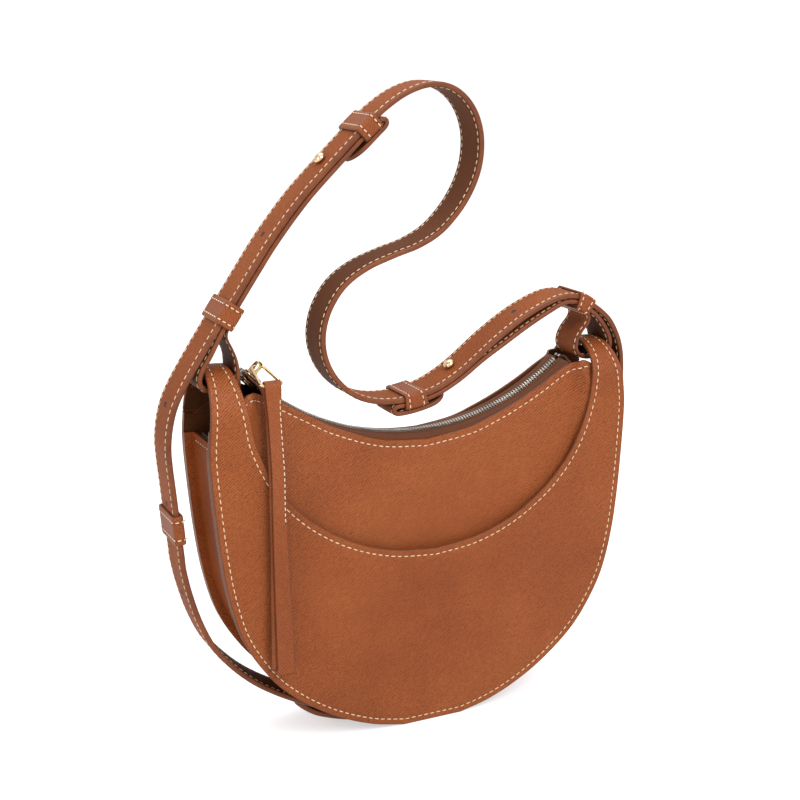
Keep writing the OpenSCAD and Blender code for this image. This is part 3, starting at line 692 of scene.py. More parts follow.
def perp_rows(o, t, near, far, inner):
    """Fractions from o to t: rows at fixed distances from both edges, and even rows between."""
    L = np.linalg.norm(t - o)
    k = min(1, 0.46 * L / max(near[-1], far[-1]))
    lo = [d * k / L for d in near]
    hi = [1 - d * k / L for d in far]
    mid = list(np.linspace(lo[-1], hi[-1], inner + 2)[1:-1])
    return lo + mid + hi[::-1]


def cosine(fn, i, to):
    """How much longer a column runs than the straight way off its edge, at the edge fn."""
    a, b = fn(max(i - 0.5, 0)), fn(min(i + 0.5, NO))
    t = unit(b - a)
    n = arr([-t[1], t[0]])
    return max(abs(np.dot(unit(to - fn(i)), n)), 0.45)


def half_columns(top_fn, near, far, inner):
    cols, vs = [], []
    for i in range(NO + 1):
        o, t = out_at(i), top_fn(i)
        ca, cb = cosine(out_at, i, t), cosine(top_fn, i, o)
        v = perp_rows(o, t, [d / ca for d in near], [d / cb for d in far], inner)
        vs.append(v)
        cols.append([lerp(o, t, q) for q in v])
    return np.array(cols), np.array(vs)


NEAR = [0, 1.2, 2.9, 3.5, 4.1, 6.5]
FAR = [0, 1.2, 2.9, 3.5, 4.1, 6.5]
GROOVE = 0.22


def join_cols(l, r):
    """Left half, given with its x reversed, and right half as one run of columns."""
    m = l[:0:-1].copy()
    m[..., 0] *= -1
    return np.concatenate([m, r])


RISE = {-1: 28.5, 1: 20.5}


def ear_x(f, h):
    a, b = (120.6, 106.6) if h < 0 else (120.6, 106.5)
    c = 101.5 if h < 0 else 103.0
    return lerp(124, a, math.sin(f)), lerp(c, b, math.sin(f))


def pocket_half(s, ears, h):
    cols, vs = half_columns(lambda i: mouth_at(i, h), NEAR, FAR, 10)
    R = cols.shape[1]
    groove = np.zeros(R)
    groove[3] = groove[-4] = GROOVE
    X, Z = cols[..., 0], cols[..., 1]
    env = np.clip(vs * (1 - vs) * 4, 0, 1)
    y = YF + belly(X, vs) + slack(X * h, Z) * env * 0.8
    out3 = np.stack([X, y - groove, Z], -1)
    in3 = np.stack([X, np.maximum(y - POCKET_T, Y_PK), Z], -1)
    if ears:
        fo, fi = [], []
        n = 30
        for i in range(1, n + 1):
            f = math.radians(180 * i / n)
            e = ear_x(f, h)
            v = np.array(perp_rows(arr([e[0], 0]), arr([e[1], 0]), NEAR, FAR, 10))
            x = lerp(e[0], e[1], v)
            lift = 0.5 * np.sin(v * math.pi) * math.sin(f)
            for off, acc in ((groove - lift, fo), (POCKET_T + 0 * groove, fi)):
                acc.append(np.stack([x, (YF - off) * math.cos(f), EAR_Z + (RISE[h] - off) * math.sin(f)], -1))
        out3 = np.concatenate([out3, np.array(fo)])
        in3 = np.concatenate([in3, np.array(fi)])
    else:
        hi, lo = out3[-1:].copy(), in3[-1:].copy()
        hi[..., 2] = lo[..., 2] = EAR_Z - 0.06
        out3, in3 = np.concatenate([out3, hi]), np.concatenate([in3, lo])
    return out3, in3


def pocket_grids(s, ears):
    l, r = pocket_half(s, ears, -1), pocket_half(s, ears, 1)
    A, B = join_cols(l[0], r[0]), join_cols(l[1], r[1])
    A[..., 1] *= s
    B[..., 1] *= s
    return A, B


def grid_uv(A):
    """UVs in metres that run evenly over a sheet, from its own X and its height round the fold."""
    x = A[..., 0] * MM
    z = A[..., 2].copy()
    over = A[..., 2] > EAR_Z
    ang = np.degrees(np.arctan2(A[..., 2] - EAR_Z, -A[..., 1]))
    z = np.where(over, EAR_Z + np.radians(ang) * YF, z)
    return np.stack([x, z * MM], -1)


def grid_normals(A):
    du = np.gradient(A, axis=0)
    dv = np.gradient(A, axis=1)
    n = np.cross(du, dv)
    return n / (np.linalg.norm(n, axis=-1, keepdims=True) + 1e-9)


def face_out(N, A, s):
    """Turn grid normals to the outside of the bag."""
    ref = np.stack([np.zeros_like(A[..., 0]), A[..., 1], np.maximum(A[..., 2] - EAR_Z, 0)], -1)
    d = np.sum(N * ref, -1, keepdims=True)
    return np.where(d < 0, -N, N)


for side_name, s, ears in (("front", -1, True), ("back", 1, False)):
    A, B = pocket_grids(s, ears)
    ob = shell(side_name + "_pocket_leather", A, B, grid_uv(A), LEATHER)
    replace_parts(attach(ob, "bag"), side_name + "_pocket")
    N = face_out(grid_normals(A), A, s)
    th = Thread()
    th.row(A[:, 3] + 0, N[:, 3])
    th.row(A[:, -4] + 0, N[:, -4])
    th.done(side_name + "_pocket_stitches", "bag")

    halves = [half_columns(lambda i: top_at(i, h), [0, 1.5, 6], [0, 1.0, 2.8, 3.4, 4.0, 6.0], 14) for h in (-1, 1)]
    C = join_cols(halves[0][0], halves[1][0])
    X, Z = C[..., 0], C[..., 1]
    V = np.concatenate([halves[0][1][:0:-1], halves[1][1]])
    g = np.zeros(C.shape[1])
    g[-4] = GROOVE
    sag = slack(X, Z) * np.clip(V * (1 - V) * 4, 0, 1) * 0.5 * np.clip((Z - 112) / 30, 0, 1)
    yo = panel_y(X, Z) + PANEL_T / 2 - 0.02 - g
    yi = panel_y(X, Z) - PANEL_T / 2
    A = np.stack([X, s * (yo - np.abs(sag) * 0.6), Z], -1)
    B = np.stack([X, s * (yi - np.abs(sag) * 0.6), Z], -1)
    ob = shell(side_name + "_panel_leather", A, B, np.stack([X * MM, Z * MM], -1), LEATHER, bevel=0.6)
    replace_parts(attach(ob, "bag"), side_name + "_panel")
    N = face_out(grid_normals(A), A, s)
    th = Thread()
    row, nr = A[:, -4], N[:, -4]
    keep = np.abs(row[:, 0]) < 104
    th.row(row[keep], nr[keep])
    th.done(side_name + "_panel_stitches", "bag")

# second ply under each folded ear
for nm, s in (("left", -1), ("right", 1)):
    fs = np.radians(np.linspace(30, 150, 34))
    grids = []
    for off in (POCKET_T + 0.04, POCKET_T + 0.94):
        g = []
        for f in fs:
            e = ear_x(f, s)
            g.append([[s * lerp(e[0] - 2.5, e[1] + 3.5, q), -(YF - off) * math.cos(f), EAR_Z + (RISE[s] - off) * math.sin(f)]
                      for q in (0, 0.06, 0.3, 0.7, 0.94, 1)])
        grids.append(np.array(g))
    uv = np.stack([grids[0][..., 0] * MM, np.repeat(fs[:, None], 6, 1) * Y_PK * MM], -1)
    ob = shell("ear_ply_" + nm, grids[0], grids[1], uv, (M["ear_inside"], M["edge_dark"], M["ear_inside"]), bevel=0.3)
    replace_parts(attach(ob, "bag"), "ear_lining_" + nm)

# gusset: a channel with rounded bends
low = np.array([q for q in out_r if q[1] <= 173.0] + [crp(OUT_K, 10.2)])
low = np.concatenate([low[:0:-1] * arr([-1, 1]), low])
NL = lefts(low)
deep = lerp(7.0, 5.0, np.clip(low[:, 1] / 60, 0, 1))


def channel(d):
    """Section of the gusset from one flange's edge to the other's, outer side first."""
    yo, yi, t = Y_PN - 0.02, Y_GS, GUSSET_T
    pts = [(-yo, 0.0, 1), (-yo, d * 0.5, 2)]
    pts += [(-yo, d + t - 2.2, 2)]
    pts += [(-yo + 2.2 - 2.2 * math.cos(a), d + t - 2.2 + 2.2 * math.sin(a), 2) for a in np.radians([30, 60, 90])]
    pts += [(y, d + t, 2) for y in np.linspace(-12, 12, 5)]
    pts += [(yo - 2.2 + 2.2 * math.sin(a), d + t - 2.2 + 2.2 * math.cos(a), 2) for a in np.radians([0, 30, 60])]
    pts += [(yo, d + t - 2.2, 2), (yo, d * 0.5, 1), (yo, 0.0, 1)]
    pts += [(yi, 0.0, 0), (yi, d - 0.8, 0)]
    pts += [(yi - 0.8 + 0.8 * math.cos(a), d - 0.8 + 0.8 * math.sin(a), 0) for a in np.radians([45, 90])]
    pts += [(y, d + 0.25 * math.cos(y / 18 * math.pi / 2), 0) for y in np.linspace(15, -15, 11)]
    pts += [(-yi + 0.8 - 0.8 * math.sin(a), d - 0.8 + 0.8 * math.cos(a), 0) for a in np.radians([0, 45])]
    pts += [(-yi, d - 0.8, 0), (-yi, 0.0, 1)]
    return pts


sec0 = channel(7.0)
sections = [channel(d) for d in deep]
verts, UV = [], []
s_len = lengths(low)
for i in range(len(low)):
    run, before = 0.0, sections[i][0][:2]
    for (y, b, _) in sections[i]:
        verts.append((low[i, 0] + b * NL[i, 0], y, low[i, 1] + b * NL[i, 1]))
        run += math.hypot(y - before[0], b - before[1])
        before = (y, b)
        UV.append((s_len[i] * MM, run * MM))
m = len(sec0)
faces, fm = [], []
for i in range(len(low) - 1):
    for j in range(m):
        faces.append((i * m + j, i * m + (j + 1) % m, (i + 1) * m + (j + 1) % m, (i + 1) * m + j))
        fm.append(sec0[j][2])
faces += [tuple(range(m - 1, -1, -1)), tuple((len(low) - 1) * m + j for j in range(m))]
fm += [1, 1]
# the gusset's outer face uses the brightened copy of the leather, which is painted light
ob = outward(make("gusset_leather", verts, faces, (M["leather_side_painted_light"], M["edge"], M["leather_back"]), fm, UV))
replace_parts(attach(ob, "bag"), "gusset")
caps = set()
for poly in list(ob.data.polygons)[-2:]:
    poly.use_smooth = False
    caps.update(poly.edge_keys)
for ed in ob.data.edges:
    if ed.key in caps:
        ed.use_edge_sharp = True
th = Thread()
for s in (-1, 1):
    # a row across the gusset's top edge, on its outer face
    q = [i for i in range(len(low)) if low[i, 1] > 160 and np.sign(low[i, 0]) == s]
    za = 171.6
    i0 = np.argmin(np.abs(low[:, 1] - za) + 1000 * (np.sign(low[:, 0]) != s))
    base = low[i0] + (deep[i0] + 0.0) * NL[i0]
    ys = np.linspace(-16.5, 16.5, 30)
    P = np.array([[base[0] + 0.25 * math.cos(y / 18 * math.pi / 2) * NL[i0, 0], y, za] for y in ys])
    th.row(P, np.tile([s, 0, 0], (30, 1)), pitch=3.8)
th.done("gusset_stitches", "bag")

# lining: cloth sheets, stretched between the seams
lin = []
step = 4
NR = lefts(out_r)
last = int(round(NO * 0.8))
lh = []
for h in (-1, 1):
    rows = []
    for i in range(0, last + 1, step):
        o = out_r[i] + 10.3 * NR[i]
        t = lerp(o, top_at(i, h), 0.93)
        rows.append([lerp(o, t, q) for q in np.linspace(0, 1, 16)])
    lh.append(np.array(rows))
cols = join_cols(lh[0], lh[1])
for nm, s in (("front", -1), ("back", 1)):
    X, Z = cols[..., 0], cols[..., 1]
    y = np.minimum(panel_y(X, Z) - PANEL_T / 2, Y_GS)
    A = np.stack([X, s * (y - 0.35), Z], -1)
    B = np.stack([X, s * (y - 0.75), Z], -1)
    ob = shell("lining_cloth_" + nm, A, B, np.stack([X * MM, Z * MM], -1), (M["lining"],) * 3, bevel=0)
    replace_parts(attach(ob, "bag"), "lining_" + nm)
    e1, e2 = A[1:, :-1] - A[:-1, :-1], A[:-1, 1:] - A[:-1, :-1]
    area = float(np.linalg.norm(np.cross(e1, e2), axis=-1).sum()) * 1e-6
    lin.append((ob, (0.248, 0.190), area))
lg = 7.0 + GUSSET_T + 2.2
dg = lerp(lg, lg - 2, np.clip(low[:, 1] / 60, 0, 1))
inner = low + dg[:, None] * NL
ys = np.linspace(-(Y_GS - 1.4), Y_GS - 1.4, 9)
A = np.array([[[p[0], y, p[1]] for y in ys] for p in inner])
inner2 = low + (dg + 0.5)[:, None] * NL
B = np.array([[[p[0], y, p[1]] for y in ys] for p in inner2])
sl = lengths(inner)
ob = shell("lining_cloth_gusset", B, A, np.array([[[sl[i] * MM, y * MM] for y in ys] for i in range(len(inner))]),
           (M["lining"],) * 3, bevel=0)
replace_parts(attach(ob, "bag"), "lining_gusset")
lin.append((ob, (0.036, float(sl[-1]) * MM), 0.036 * float(sl[-1]) * MM))
for ob, flat, area in lin:
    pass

# ------------------------------------------------------------------ zip


def arc_pt(r, a):
    a = math.radians(a)
    return arr([ZIP_X + r * math.sin(a), ZIP_Z - r * math.cos(a)])


def arc_sheet(name, prof, a0, a1, n, mats, body, node):
    """Sheet along the zip's arc. prof: (y, radius, thickness) across it."""
    angs = np.linspace(a0, a1, n)
    def hem(r, a):
        """The margin sewn to the panel narrows to nothing at both ends."""
        return r if r <= ZIP_R + 0.3 else ZIP_R + 0.2 + (r - ZIP_R - 0.2) * sm((min(a - a0, a1 - a) - 3.0) / 3.0)
    A = np.array([[[arc_pt(hem(r, a), a)[0], y, arc_pt(hem(r, a), a)[1]] for (y, r, t) in prof] for a in angs])
    B = np.array([[[arc_pt(hem(r, a) + t, a)[0], y, arc_pt(hem(r, a) + t, a)[1]] for (y, r, t) in prof] for a in angs])
    w = [0]
    for i in range(1, len(prof)):
        w.append(w[-1] + math.hypot(prof[i][0] - prof[i - 1][0], prof[i][1] - prof[i - 1][1]))
    uv = np.array([[[math.radians(a) * ZIP_R * MM, q * MM] for q in w] for a in angs])
    ob = shell(name, A, B, uv, mats, bevel=0)
    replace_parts(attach(ob, body), node)
    return ob


for nm, s in (("front", -1), ("back", 1)):
    yt = MOUTH_D / 2 - PANEL_T / 2 - 0.15
    prof = [(s * yt, ZIP_R + 7.8, 0.5), (s * yt, ZIP_R + 4, 0.5), (s * (yt - 0.3), ZIP_R + 1.2, 0.5), (s * (yt - 1.4), ZIP_R - 0.1, 0.5),
            (s * 8.5, ZIP_R - 0.5, 0.6), (s * 6, ZIP_R - 0.4, 0.6), (s * 4.2, ZIP_R - 0.4, 0.6), (s * 3.2, ZIP_R - 0.9, 1.6),
            (s * 2.2, ZIP_R - 1.0, 1.8), (s * 1.4, ZIP_R - 0.6, 1.2)]
    arc_sheet("zip_tape_cloth_" + nm, prof, ZIP_LEFT, ZIP_RIGHT, 70, (M["tape"],) * 3, "bag", "zip_tape_" + nm)

TOOTH = [(-0.42, -1.0), (0.42, -1.0), (0.55, 0.2), (0.40, 1.0), (-0.40, 1.0), (-0.55, 0.2)]
for nm, s in (("front", -1), ("back", 1)):
    V, F = [], []
    pitch = math.degrees(1.72 / ZIP_R)
    n = int((ZIP_RIGHT - ZIP_LEFT - 0.6) / pitch)
    for k in range(n):
        a = ZIP_LEFT + 0.5 + (k + (0 if s < 0 else 0.5)) * pitch
        c = arc_pt(ZIP_R, a)
        t = arr([math.cos(math.radians(a)), math.sin(math.radians(a))])
        nrm = arr([-math.sin(math.radians(a)), math.cos(math.radians(a))])
        b = len(V)
        rows = [(3.15, 0.80, 1.35), (2.3, 0.95, 1.72), (0.9, 0.95, 1.72), (-0.25, 0.86, 1.5), (-0.85, 0.6, 0.9)]
        for (y, kx, kh) in rows:
            for (px, pz) in TOOTH:
                q = c + t * px * kx * 1.06 + nrm * pz * kh
                V.append((q[0], s * y, q[1]))
        for r in range(len(rows) - 1):
            for j in range(6):
                F.append((b + r * 6 + j, b + r * 6 + (j + 1) % 6, b + (r + 1) * 6 + (j + 1) % 6, b + (r + 1) * 6 + j))
        F.append(tuple(b + j for j in range(5, -1, -1)))
        F.append(tuple(b + (len(rows) - 1) * 6 + j for j in range(6)))
    ob = outward(make("zip_teeth_" + nm, V, F, (M["zip_metal"],), smooth_faces=False))
    md = ob.modifiers.new("rounded", "BEVEL")
    md.width, md.segments, md.limit_method = 0.14 * MM, 2, "ANGLE"
    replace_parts(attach(ob, "bag"), "zip_chain_" + nm)

# leather tabs at the zip's ends
TABS = {-1: arr([[101, 212], [101, 208.5], [101.2, 204.5], [102.3, 200], [105, 194.5], [109, 187], [112.3, 177], [114.2, 163]]),
        1: arr([[98.6, 197.6], [99.4, 195.2], [101.2, 193], [104.5, 190.6], [108.6, 186], [111.8, 177], [114.2, 163]])}
for nm, s in (("left", -1), ("right", 1)):
    p = even(cr(TABS[s], 8), 1.5) * arr([s, 1])
    p = dense_ends(p, 5.5, 8, start=True)
    k = round_tip(p, 5.5, 6, start=True)
    ob = sweep("zip_end_tab_" + nm, p, strap_section(6.0, 0.8, True, 0.1, 1.6), SMALL, widths=np.maximum(k, 0.35))
    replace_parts(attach(ob, "bag"), "zip_tab_" + nm)
    th = Thread()
    for y in (-4.3, 4.3):
        for b in (0.8, -0.8):
            P, N = ribbon_at(p[10:], y, b)
            th.row(P, N, pitch=3.2, dash=2.1, wide=0.36, high=0.28)
    th.done("zip_end_tab_stitches_" + nm, "bag")


def rounded_plate(name, a_mid, r_mid, half_l, half_w, half_t, crown, mat):
    """Domed rounded plate of the slider, along the zip's arc."""
    V, F = [], []
    nu, nv = 20, 14
    c = arc_pt(r_mid, a_mid)
    t = arr([math.cos(math.radians(a_mid)), math.sin(math.radians(a_mid))])
    n = arr([-math.sin(math.radians(a_mid)), math.cos(math.radians(a_mid))])
    for i in range(nv + 1):
        ph = math.pi * i / nv - math.pi / 2
        for j in range(nu):
            th_ = 2 * math.pi * j / nu
            e = 0.55

            def pw(v, q):
                return math.copysign(abs(v) ** q, v)
            x = half_l * pw(math.cos(ph), 0.45) * pw(math.cos(th_), e)
            y = half_w * pw(math.cos(ph), 0.45) * pw(math.sin(th_), e)
            z = half_t * pw(math.sin(ph), 0.8) + crown * (1 - (x / half_l) ** 2) * (1 - (y / half_w) ** 2) * (1 if ph > 0 else 0)
            q = c + t * x + n * z
            V.append((q[0], y, q[1]))
    for i in range(nv):
        for j in range(nu):
            F.append((i * nu + j, i * nu + (j + 1) % nu, (i + 1) * nu + (j + 1) % nu, (i + 1) * nu + j))
    return V, F


def tube(path3, r, seg=14, close=False):
    """Round wire along 3-D points."""
    P = arr(path3)
    n = len(P)
    T = (np.roll(P, -1, 0) - np.roll(P, 1, 0)) if close else np.gradient(P, axis=0)
    T /= np.linalg.norm(T, axis=1)[:, None]
    ref = arr([1, 0, 0]) if abs(T[0, 0]) < 0.8 else arr([0, 0, 1])
    u = unit(np.cross(T[0], ref))
    V, F = [], []
    for i in range(n):
        u = unit(u - np.dot(u, T[i]) * T[i])
        w = np.cross(T[i], u)
        for j in range(seg):
            a = 2 * math.pi * j / seg
            V.append(P[i] + r * (math.cos(a) * u + math.sin(a) * w))
    for i in range(n if close else n - 1):
        for j in range(seg):
            F.append((i * seg + j, i * seg + (j + 1) % seg, ((i + 1) % n) * seg + (j + 1) % seg, ((i + 1) % n) * seg + j))
    if not close:
        F += [tuple(range(seg - 1, -1, -1)), tuple((n - 1) * seg + j for j in range(seg))]
    return V, F


def merge(parts):
    V, F, n = [], [], 0
    for v, f in parts:
        V += [tuple(q) for q in v]
        F += [tuple(i + n for i in g) for g in f]
        n += len(v)
    return V, F


parts = [rounded_plate("", SLIDER_A, ZIP_R - 2.7, 5.1, 4.7, 0.7, 0.2, None),
         rounded_plate("", SLIDER_A, ZIP_R + 2.7, 4.9, 4.6, 0.75, 0.0, None)]
for y in (-3.9, 3.9):
    for rr in (ZIP_R - 1.5, ZIP_R + 1.5):
        pts = [(arc_pt(rr, a)[0], y, arc_pt(rr, a)[1]) for a in np.linspace(SLIDER_A - 2.0, SLIDER_A + 2.0, 8)]
        parts.append(tube(pts, 0.75, 10))
pts = [(arc_pt(r, SLIDER_A - 1.2)[0], 0, arc_pt(r, SLIDER_A - 1.2)[1]) for r in (ZIP_R - 2.4, ZIP_R, ZIP_R + 2.4)]
parts.append(tube(pts, 0.6, 10))
V, F = merge(parts)
ob = outward(make("slider_shell", V, F, (M["gold"],)))
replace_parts(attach(ob, "zip_slider"), "slider_body")

# domed bridge that holds the ring
bail_a = SLIDER_A - 0.7
c = arc_pt(ZIP_R - 3.3, bail_a)
tt_ = arr([math.cos(math.radians(bail_a)), math.sin(math.radians(bail_a))])
nn_ = arr([-math.sin(math.radians(bail_a)), math.cos(math.radians(bail_a))])
V, F = [], []
secs = []
for i in range(25):
    f = math.pi * i / 24
    hw = lerp(1.5, 2.0, math.sin(f) ** 0.8)
    for j in range(12):
        a = 2 * math.pi * j / 12
        x = hw * math.copysign(abs(math.cos(a)) ** 0.6, math.cos(a))
        rr = 0.62 * math.copysign(abs(math.sin(a)) ** 0.7, math.sin(a)) + 0.35 * (1 - (x / hw) ** 2)
        y = -(2.75 + rr) * math.cos(f)
        z = (6.6 + rr) * math.sin(f)
        q = c + tt_ * x + nn_ * z
        V.append((q[0], y, q[1]))
for i in range(24):
    for j in range(12):
        F.append((i * 12 + j, i * 12 + (j + 1) % 12, (i + 1) * 12 + (j + 1) % 12, (i + 1) * 12 + j))
F += [tuple(range(11, -1, -1)), tuple(24 * 12 + j for j in range(12))]
ob = outward(make("slider_bridge", V, F, (M["gold"],)))
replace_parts(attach(ob, "zip_slider"), "slider_bail")

# long ring through the bridge
BX, BZ = arc_pt(ZIP_R - 7.7, bail_a)
RL, RW, R0, WIRE, TILT = 23.0, 11.4, 3.4, 1.8, math.radians(13.5)
w = RW / 2
loop = [(R0 * math.cos(a), R0 * (math.sin(a) - 1)) for a in np.linspace(0, math.pi, 24)]
loop += [(-lerp(R0, w, q), lerp(-R0, -RL + 1.9, q)) for q in np.linspace(0, 1, 12)[1:]]
bar = [(w - 0.15, -RL + 1.1), (w - 0.6, -RL + 0.4), (w - 1.4, -RL)]
loop += [(-x, y) for x, y in bar] + [(-w / 3, -RL), (w / 3, -RL)] + bar[::-1]
loop += [(lerp(R0, w, q), lerp(-R0, -RL + 1.9, q)) for q in np.linspace(0, 1, 12)[:0:-1]]
pts = [(BX + x, 0.3 + y * math.cos(TILT), BZ + y * math.sin(TILT)) for x, y in loop]
V, F = tube(pts, WIRE / 2, 16, close=True)
ob = outward(make("pull_ring_wire", V, F, (M["gold"],)))
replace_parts(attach(ob, "ring"), "pull_ring")

# leather pull: one strip looped over the ring's bar, two plies
BAR_Y = 0.3 - RL * math.cos(TILT)
BAR_Z = BZ - RL * math.sin(TILT)
PX = BX
e = -YF - BELLY
y0, z0, L = BAR_Y, BAR_Z, 158.0
g = 2.0
back = cr(arr([[e - 1.9, z0 - L + 3], [e - 1.9, z0 - 100], [e - 1.8, z0 - 62], [e - 0.2, z0 - 45], [y0 - 1.4, z0 - 24], [y0 + 0.6, z0 - 12], [y0 + g, z0 - 3]]), 8)
turn = arr([[y0 + g * math.cos(math.radians(12 * i)), z0 + g * math.sin(math.radians(12 * i))] for i in range(16)])
front = cr(arr([[y0 - g, z0 - 3], [y0 - 1.9, z0 - 12], [y0 - 3.5, z0 - 24], [e - 2.3, z0 - 45], [e - 3.8, z0 - 62], [e - 3.9, z0 - 100], [e - 3.9, z0 - L]]), 8)
path = even(np.concatenate([back, turn, front]), 2.0)
sec = strap_section(4.5, 0.72, False, 0.15, 1.4)
N = lefts(path)
s_ = lengths(path)
tot = s_[-1]
verts, UV = [], []
for i, p in enumerate(path):
    down = (z0 - p[1]) / L
    ply = -1 if s_[i] < tot / 2 else 1
    k = lerp(lerp(1.0, 0.84, sm(down / 0.12)), 1.1, sm((down - 0.35) / 0.65))
    xs = -2.4 * sm((down - 0.05) / 0.4) + ply * (0.45 + 0.9 * max(down - 0.55, 0) / 0.45) * sm(down / 0.15)
    for (a, b, _) in sec:
        verts.append((PX + a * k + xs, p[0] + b * N[i, 0], p[1] + b * N[i, 1]))
        UV.append((s_[i] * MM, a * MM))
m = len(sec)
faces, fm = [], []
for i in range(len(path) - 1):
    for j in range(m):
        faces.append((i * m + j, i * m + (j + 1) % m, (i + 1) * m + (j + 1) % m, (i + 1) * m + j))
        fm.append(sec[j][2])
faces += [tuple(range(m - 1, -1, -1)), tuple((len(path) - 1) * m + j for j in range(m))]
fm += [1, 1]
ob = outward(make("pull_strip", verts, faces, (M["leather_small"], M["edge"], M["leather_small"]), fm, UV))
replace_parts(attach(ob, "pull"), "leather_pull")
th = Thread()
for y in (1,):
    P, Q = [], []
    for i, p in enumerate(path):
        down = (z0 - p[1]) / L
        if s_[i] < tot / 2 or down < 0.04 or down > 0.46:
            continue
        k = lerp(lerp(1.0, 0.84, sm(down / 0.12)), 1.1, sm((down - 0.35) / 0.65))
        xs = -2.4 * sm((down - 0.05) / 0.4) + (0.45 + 0.9 * max(down - 0.55, 0) / 0.45) * sm(down / 0.15)
        sg = 1 if N[i, 0] < 0 else -1
        P.append((PX + y * 3.5 * k + xs, p[0] + sg * 0.7 * N[i, 0], p[1] + sg * 0.7 * N[i, 1]))
        Q.append((0, sg * N[i, 0], sg * N[i, 1]))
    th.row(arr(P), arr(Q), pitch=3.2, dash=2.1, wide=0.3, high=0.26)
th.done("pull_stitches", "pull")

# ------------------------------------------------------------------ strap

W2 = STRAP_W / 2
SY = W2 - 2.4


def strap_piece(name, path, t, nodes, body, flip=False, tips=(False, False), stitch=(True, True), skip=None, pare=None):
    sec = strap_section(W2, t / 2)
    if flip:
        sec = [(y, -b, m_) for (y, b, m_) in sec]
    p = dense_ends(path, 12.0, 10, *tips) if any(tips) else path
    k = round_tip(p, 12.0, W2, *tips)
    def thick(path):
        s = lengths(path)
        return np.ones(len(path)) if pare is None else lerp(1.0, END_T / t, sm((s - s[-1] + pare[0]) / pare[1]))

    ob = sweep(name, p, sec, STRAP, widths=k, thick=thick(p))
    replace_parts(ob, *nodes)
    th = Thread()
    sgn = -1 if flip else 1
    q = even(path, 1.5)
    sq = lengths(q)
    trim = (sq > (11 if tips[0] else 1.0)) & (sq < sq[-1] - (11 if tips[1] else 1.0))
    for on, b in ((stitch[0], sgn * (t / 2 - 0.12)), (stitch[1], -sgn * (t / 2 - 0.12))):
        if not on:
            continue
        for y in (-SY, SY):
            P, N = ribbon_at(q, y, b * thick(q))
            th.row(P[trim], N[trim], skip=skip)
    return ob, th


def hole_marks(name, k, us, b, body):
    """Punched holes: a burnished raised rim round a flat dark disc painted as the shade of the hole, on both faces."""
    V, F, fm, n = [], [], [], 0
    for u in us:
        for sg in (1, -1):
            c = at(k, u, sg * b)
            t = unit(crp(k, u + 0.04) - crp(k, u - 0.04))
            nv = arr([-t[1], t[0]]) * sg
            rings = [(2.05, 0.06), (1.85, 0.24), (1.6, 0.25), (1.42, 0.13), (0.7, 0.13)]
            for (r, h) in rings:
                for j in range(20):
                    a = 2 * math.pi * j / 20
                    q = c + t * r * math.cos(a) + nv * h
                    V.append((q[0], r * math.sin(a), q[1]))
            # the rings from r 1.6 inward and the flat cap take the near-black colour: painted shade in place of a real
            # hole
            for i in range(len(rings) - 1):
                for j in range(20):
                    F.append((n + i * 20 + j, n + i * 20 + (j + 1) % 20, n + (i + 1) * 20 + (j + 1) % 20, n + (i + 1) * 20 + j))
                    fm.append(0 if i < 2 else 1)
            F.append(tuple(n + (len(rings) - 1) * 20 + j for j in range(20)))
            fm.append(1)
            n += len(rings) * 20
    ob = make(name, V, F, (M["edge_dark"], M["punched_hole_painted_shade"]), fm)
    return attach(ob, body)


# the belt over the shoulder, from inside the left lower keeper to inside the right one
p = even(np.array([crp(BELT_K, u) for u in np.arange(2.0, 42.3, 0.1)]), 2.0)
ob, th = strap_piece("belt_over_shoulder", p, BELT_T, ["belt_upper"], "shoulder_strap")
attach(ob, "shoulder_strap")
th.done("belt_stitches", "shoulder_strap")
hole_marks("belt_holes", BELT_K, [5.0, 39.05], BELT_T / 2, "shoulder_strap")

# down the left side, curving above the ear
p = even(np.array([crp(LEFT_K, u) for u in np.arange(0.0, 30.01, 0.1)]), 2.0)
ob, th = strap_piece("belt_left_side", p, BELT_T, ["belt_side_left"], "bag", flip=True, tips=(False, True))
left_stitch = make("belt_left_stitches", np.concatenate(th.v), th.f, (M["thread"], M["stitch_hole_painted_shade"]), th.m)
for o in (ob, left_stitch):
    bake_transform(o)
hole_marks("belt_left_holes", LEFT_K, [5.0, 10.6, 16.1], BELT_T / 2, "bag")

# down the right side
p = even(np.array([crp(RIGHT_K, u) for u in np.arange(0.0, 29.01, 0.1)]), 2.0)
ob, th = strap_piece("belt_right_side", p, BELT_T, ["belt_side_right"], "bag", tips=(False, True))
right_stitch = make("belt_right_stitches", np.concatenate(th.v), th.f, (M["thread"], M["stitch_hole_painted_shade"]), th.m)
for o in (ob, right_stitch):
    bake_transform(o)
hole_marks("belt_right_holes", RIGHT_K, [5.4, 11.5, 16.3], BELT_T / 2, "bag")

# anchor straps
left_path = np.array(ofs(BELT_K, 7.3, 8.5, 8, RET - 0.2, RET) + bend(8.5, 1) + ofs(BELT_K, 8.48, 1.4, 36, LAY, LAY)
                     + list(cr(np.concatenate([LEFT_LEG, ofs(BELT_K, 1.42, 2.45, 4, LAY2 - 0.1, LAY2)]), 6)))
right_path = np.array(ofs(BELT_K, 34.9, 34.0, 5, RET + 1.1, RET + 0.1) + ofs(BELT_K, 33.8, 32.15, 9, RET, RET) + bend(32.15, -1) + ofs(BELT_K, 32.17, 36.4, 18, LAY, LAY)
                      + [at(BELT_K, lerp(36.4, 41.6, i / 24), LAY - 2.6 * math.sin(math.radians(180 * i / 24)) ** 2)
                         for i in range(1, 24)]
                      + ofs(BELT_K, 41.6, 43.0, 8, LAY, LAY - 0.3)
                      + list(cr(np.concatenate([RIGHT_LEG, ofs(BELT_K, 42.78, 41.92, 3, LAY2 - 0.1, LAY2)]), 6)))
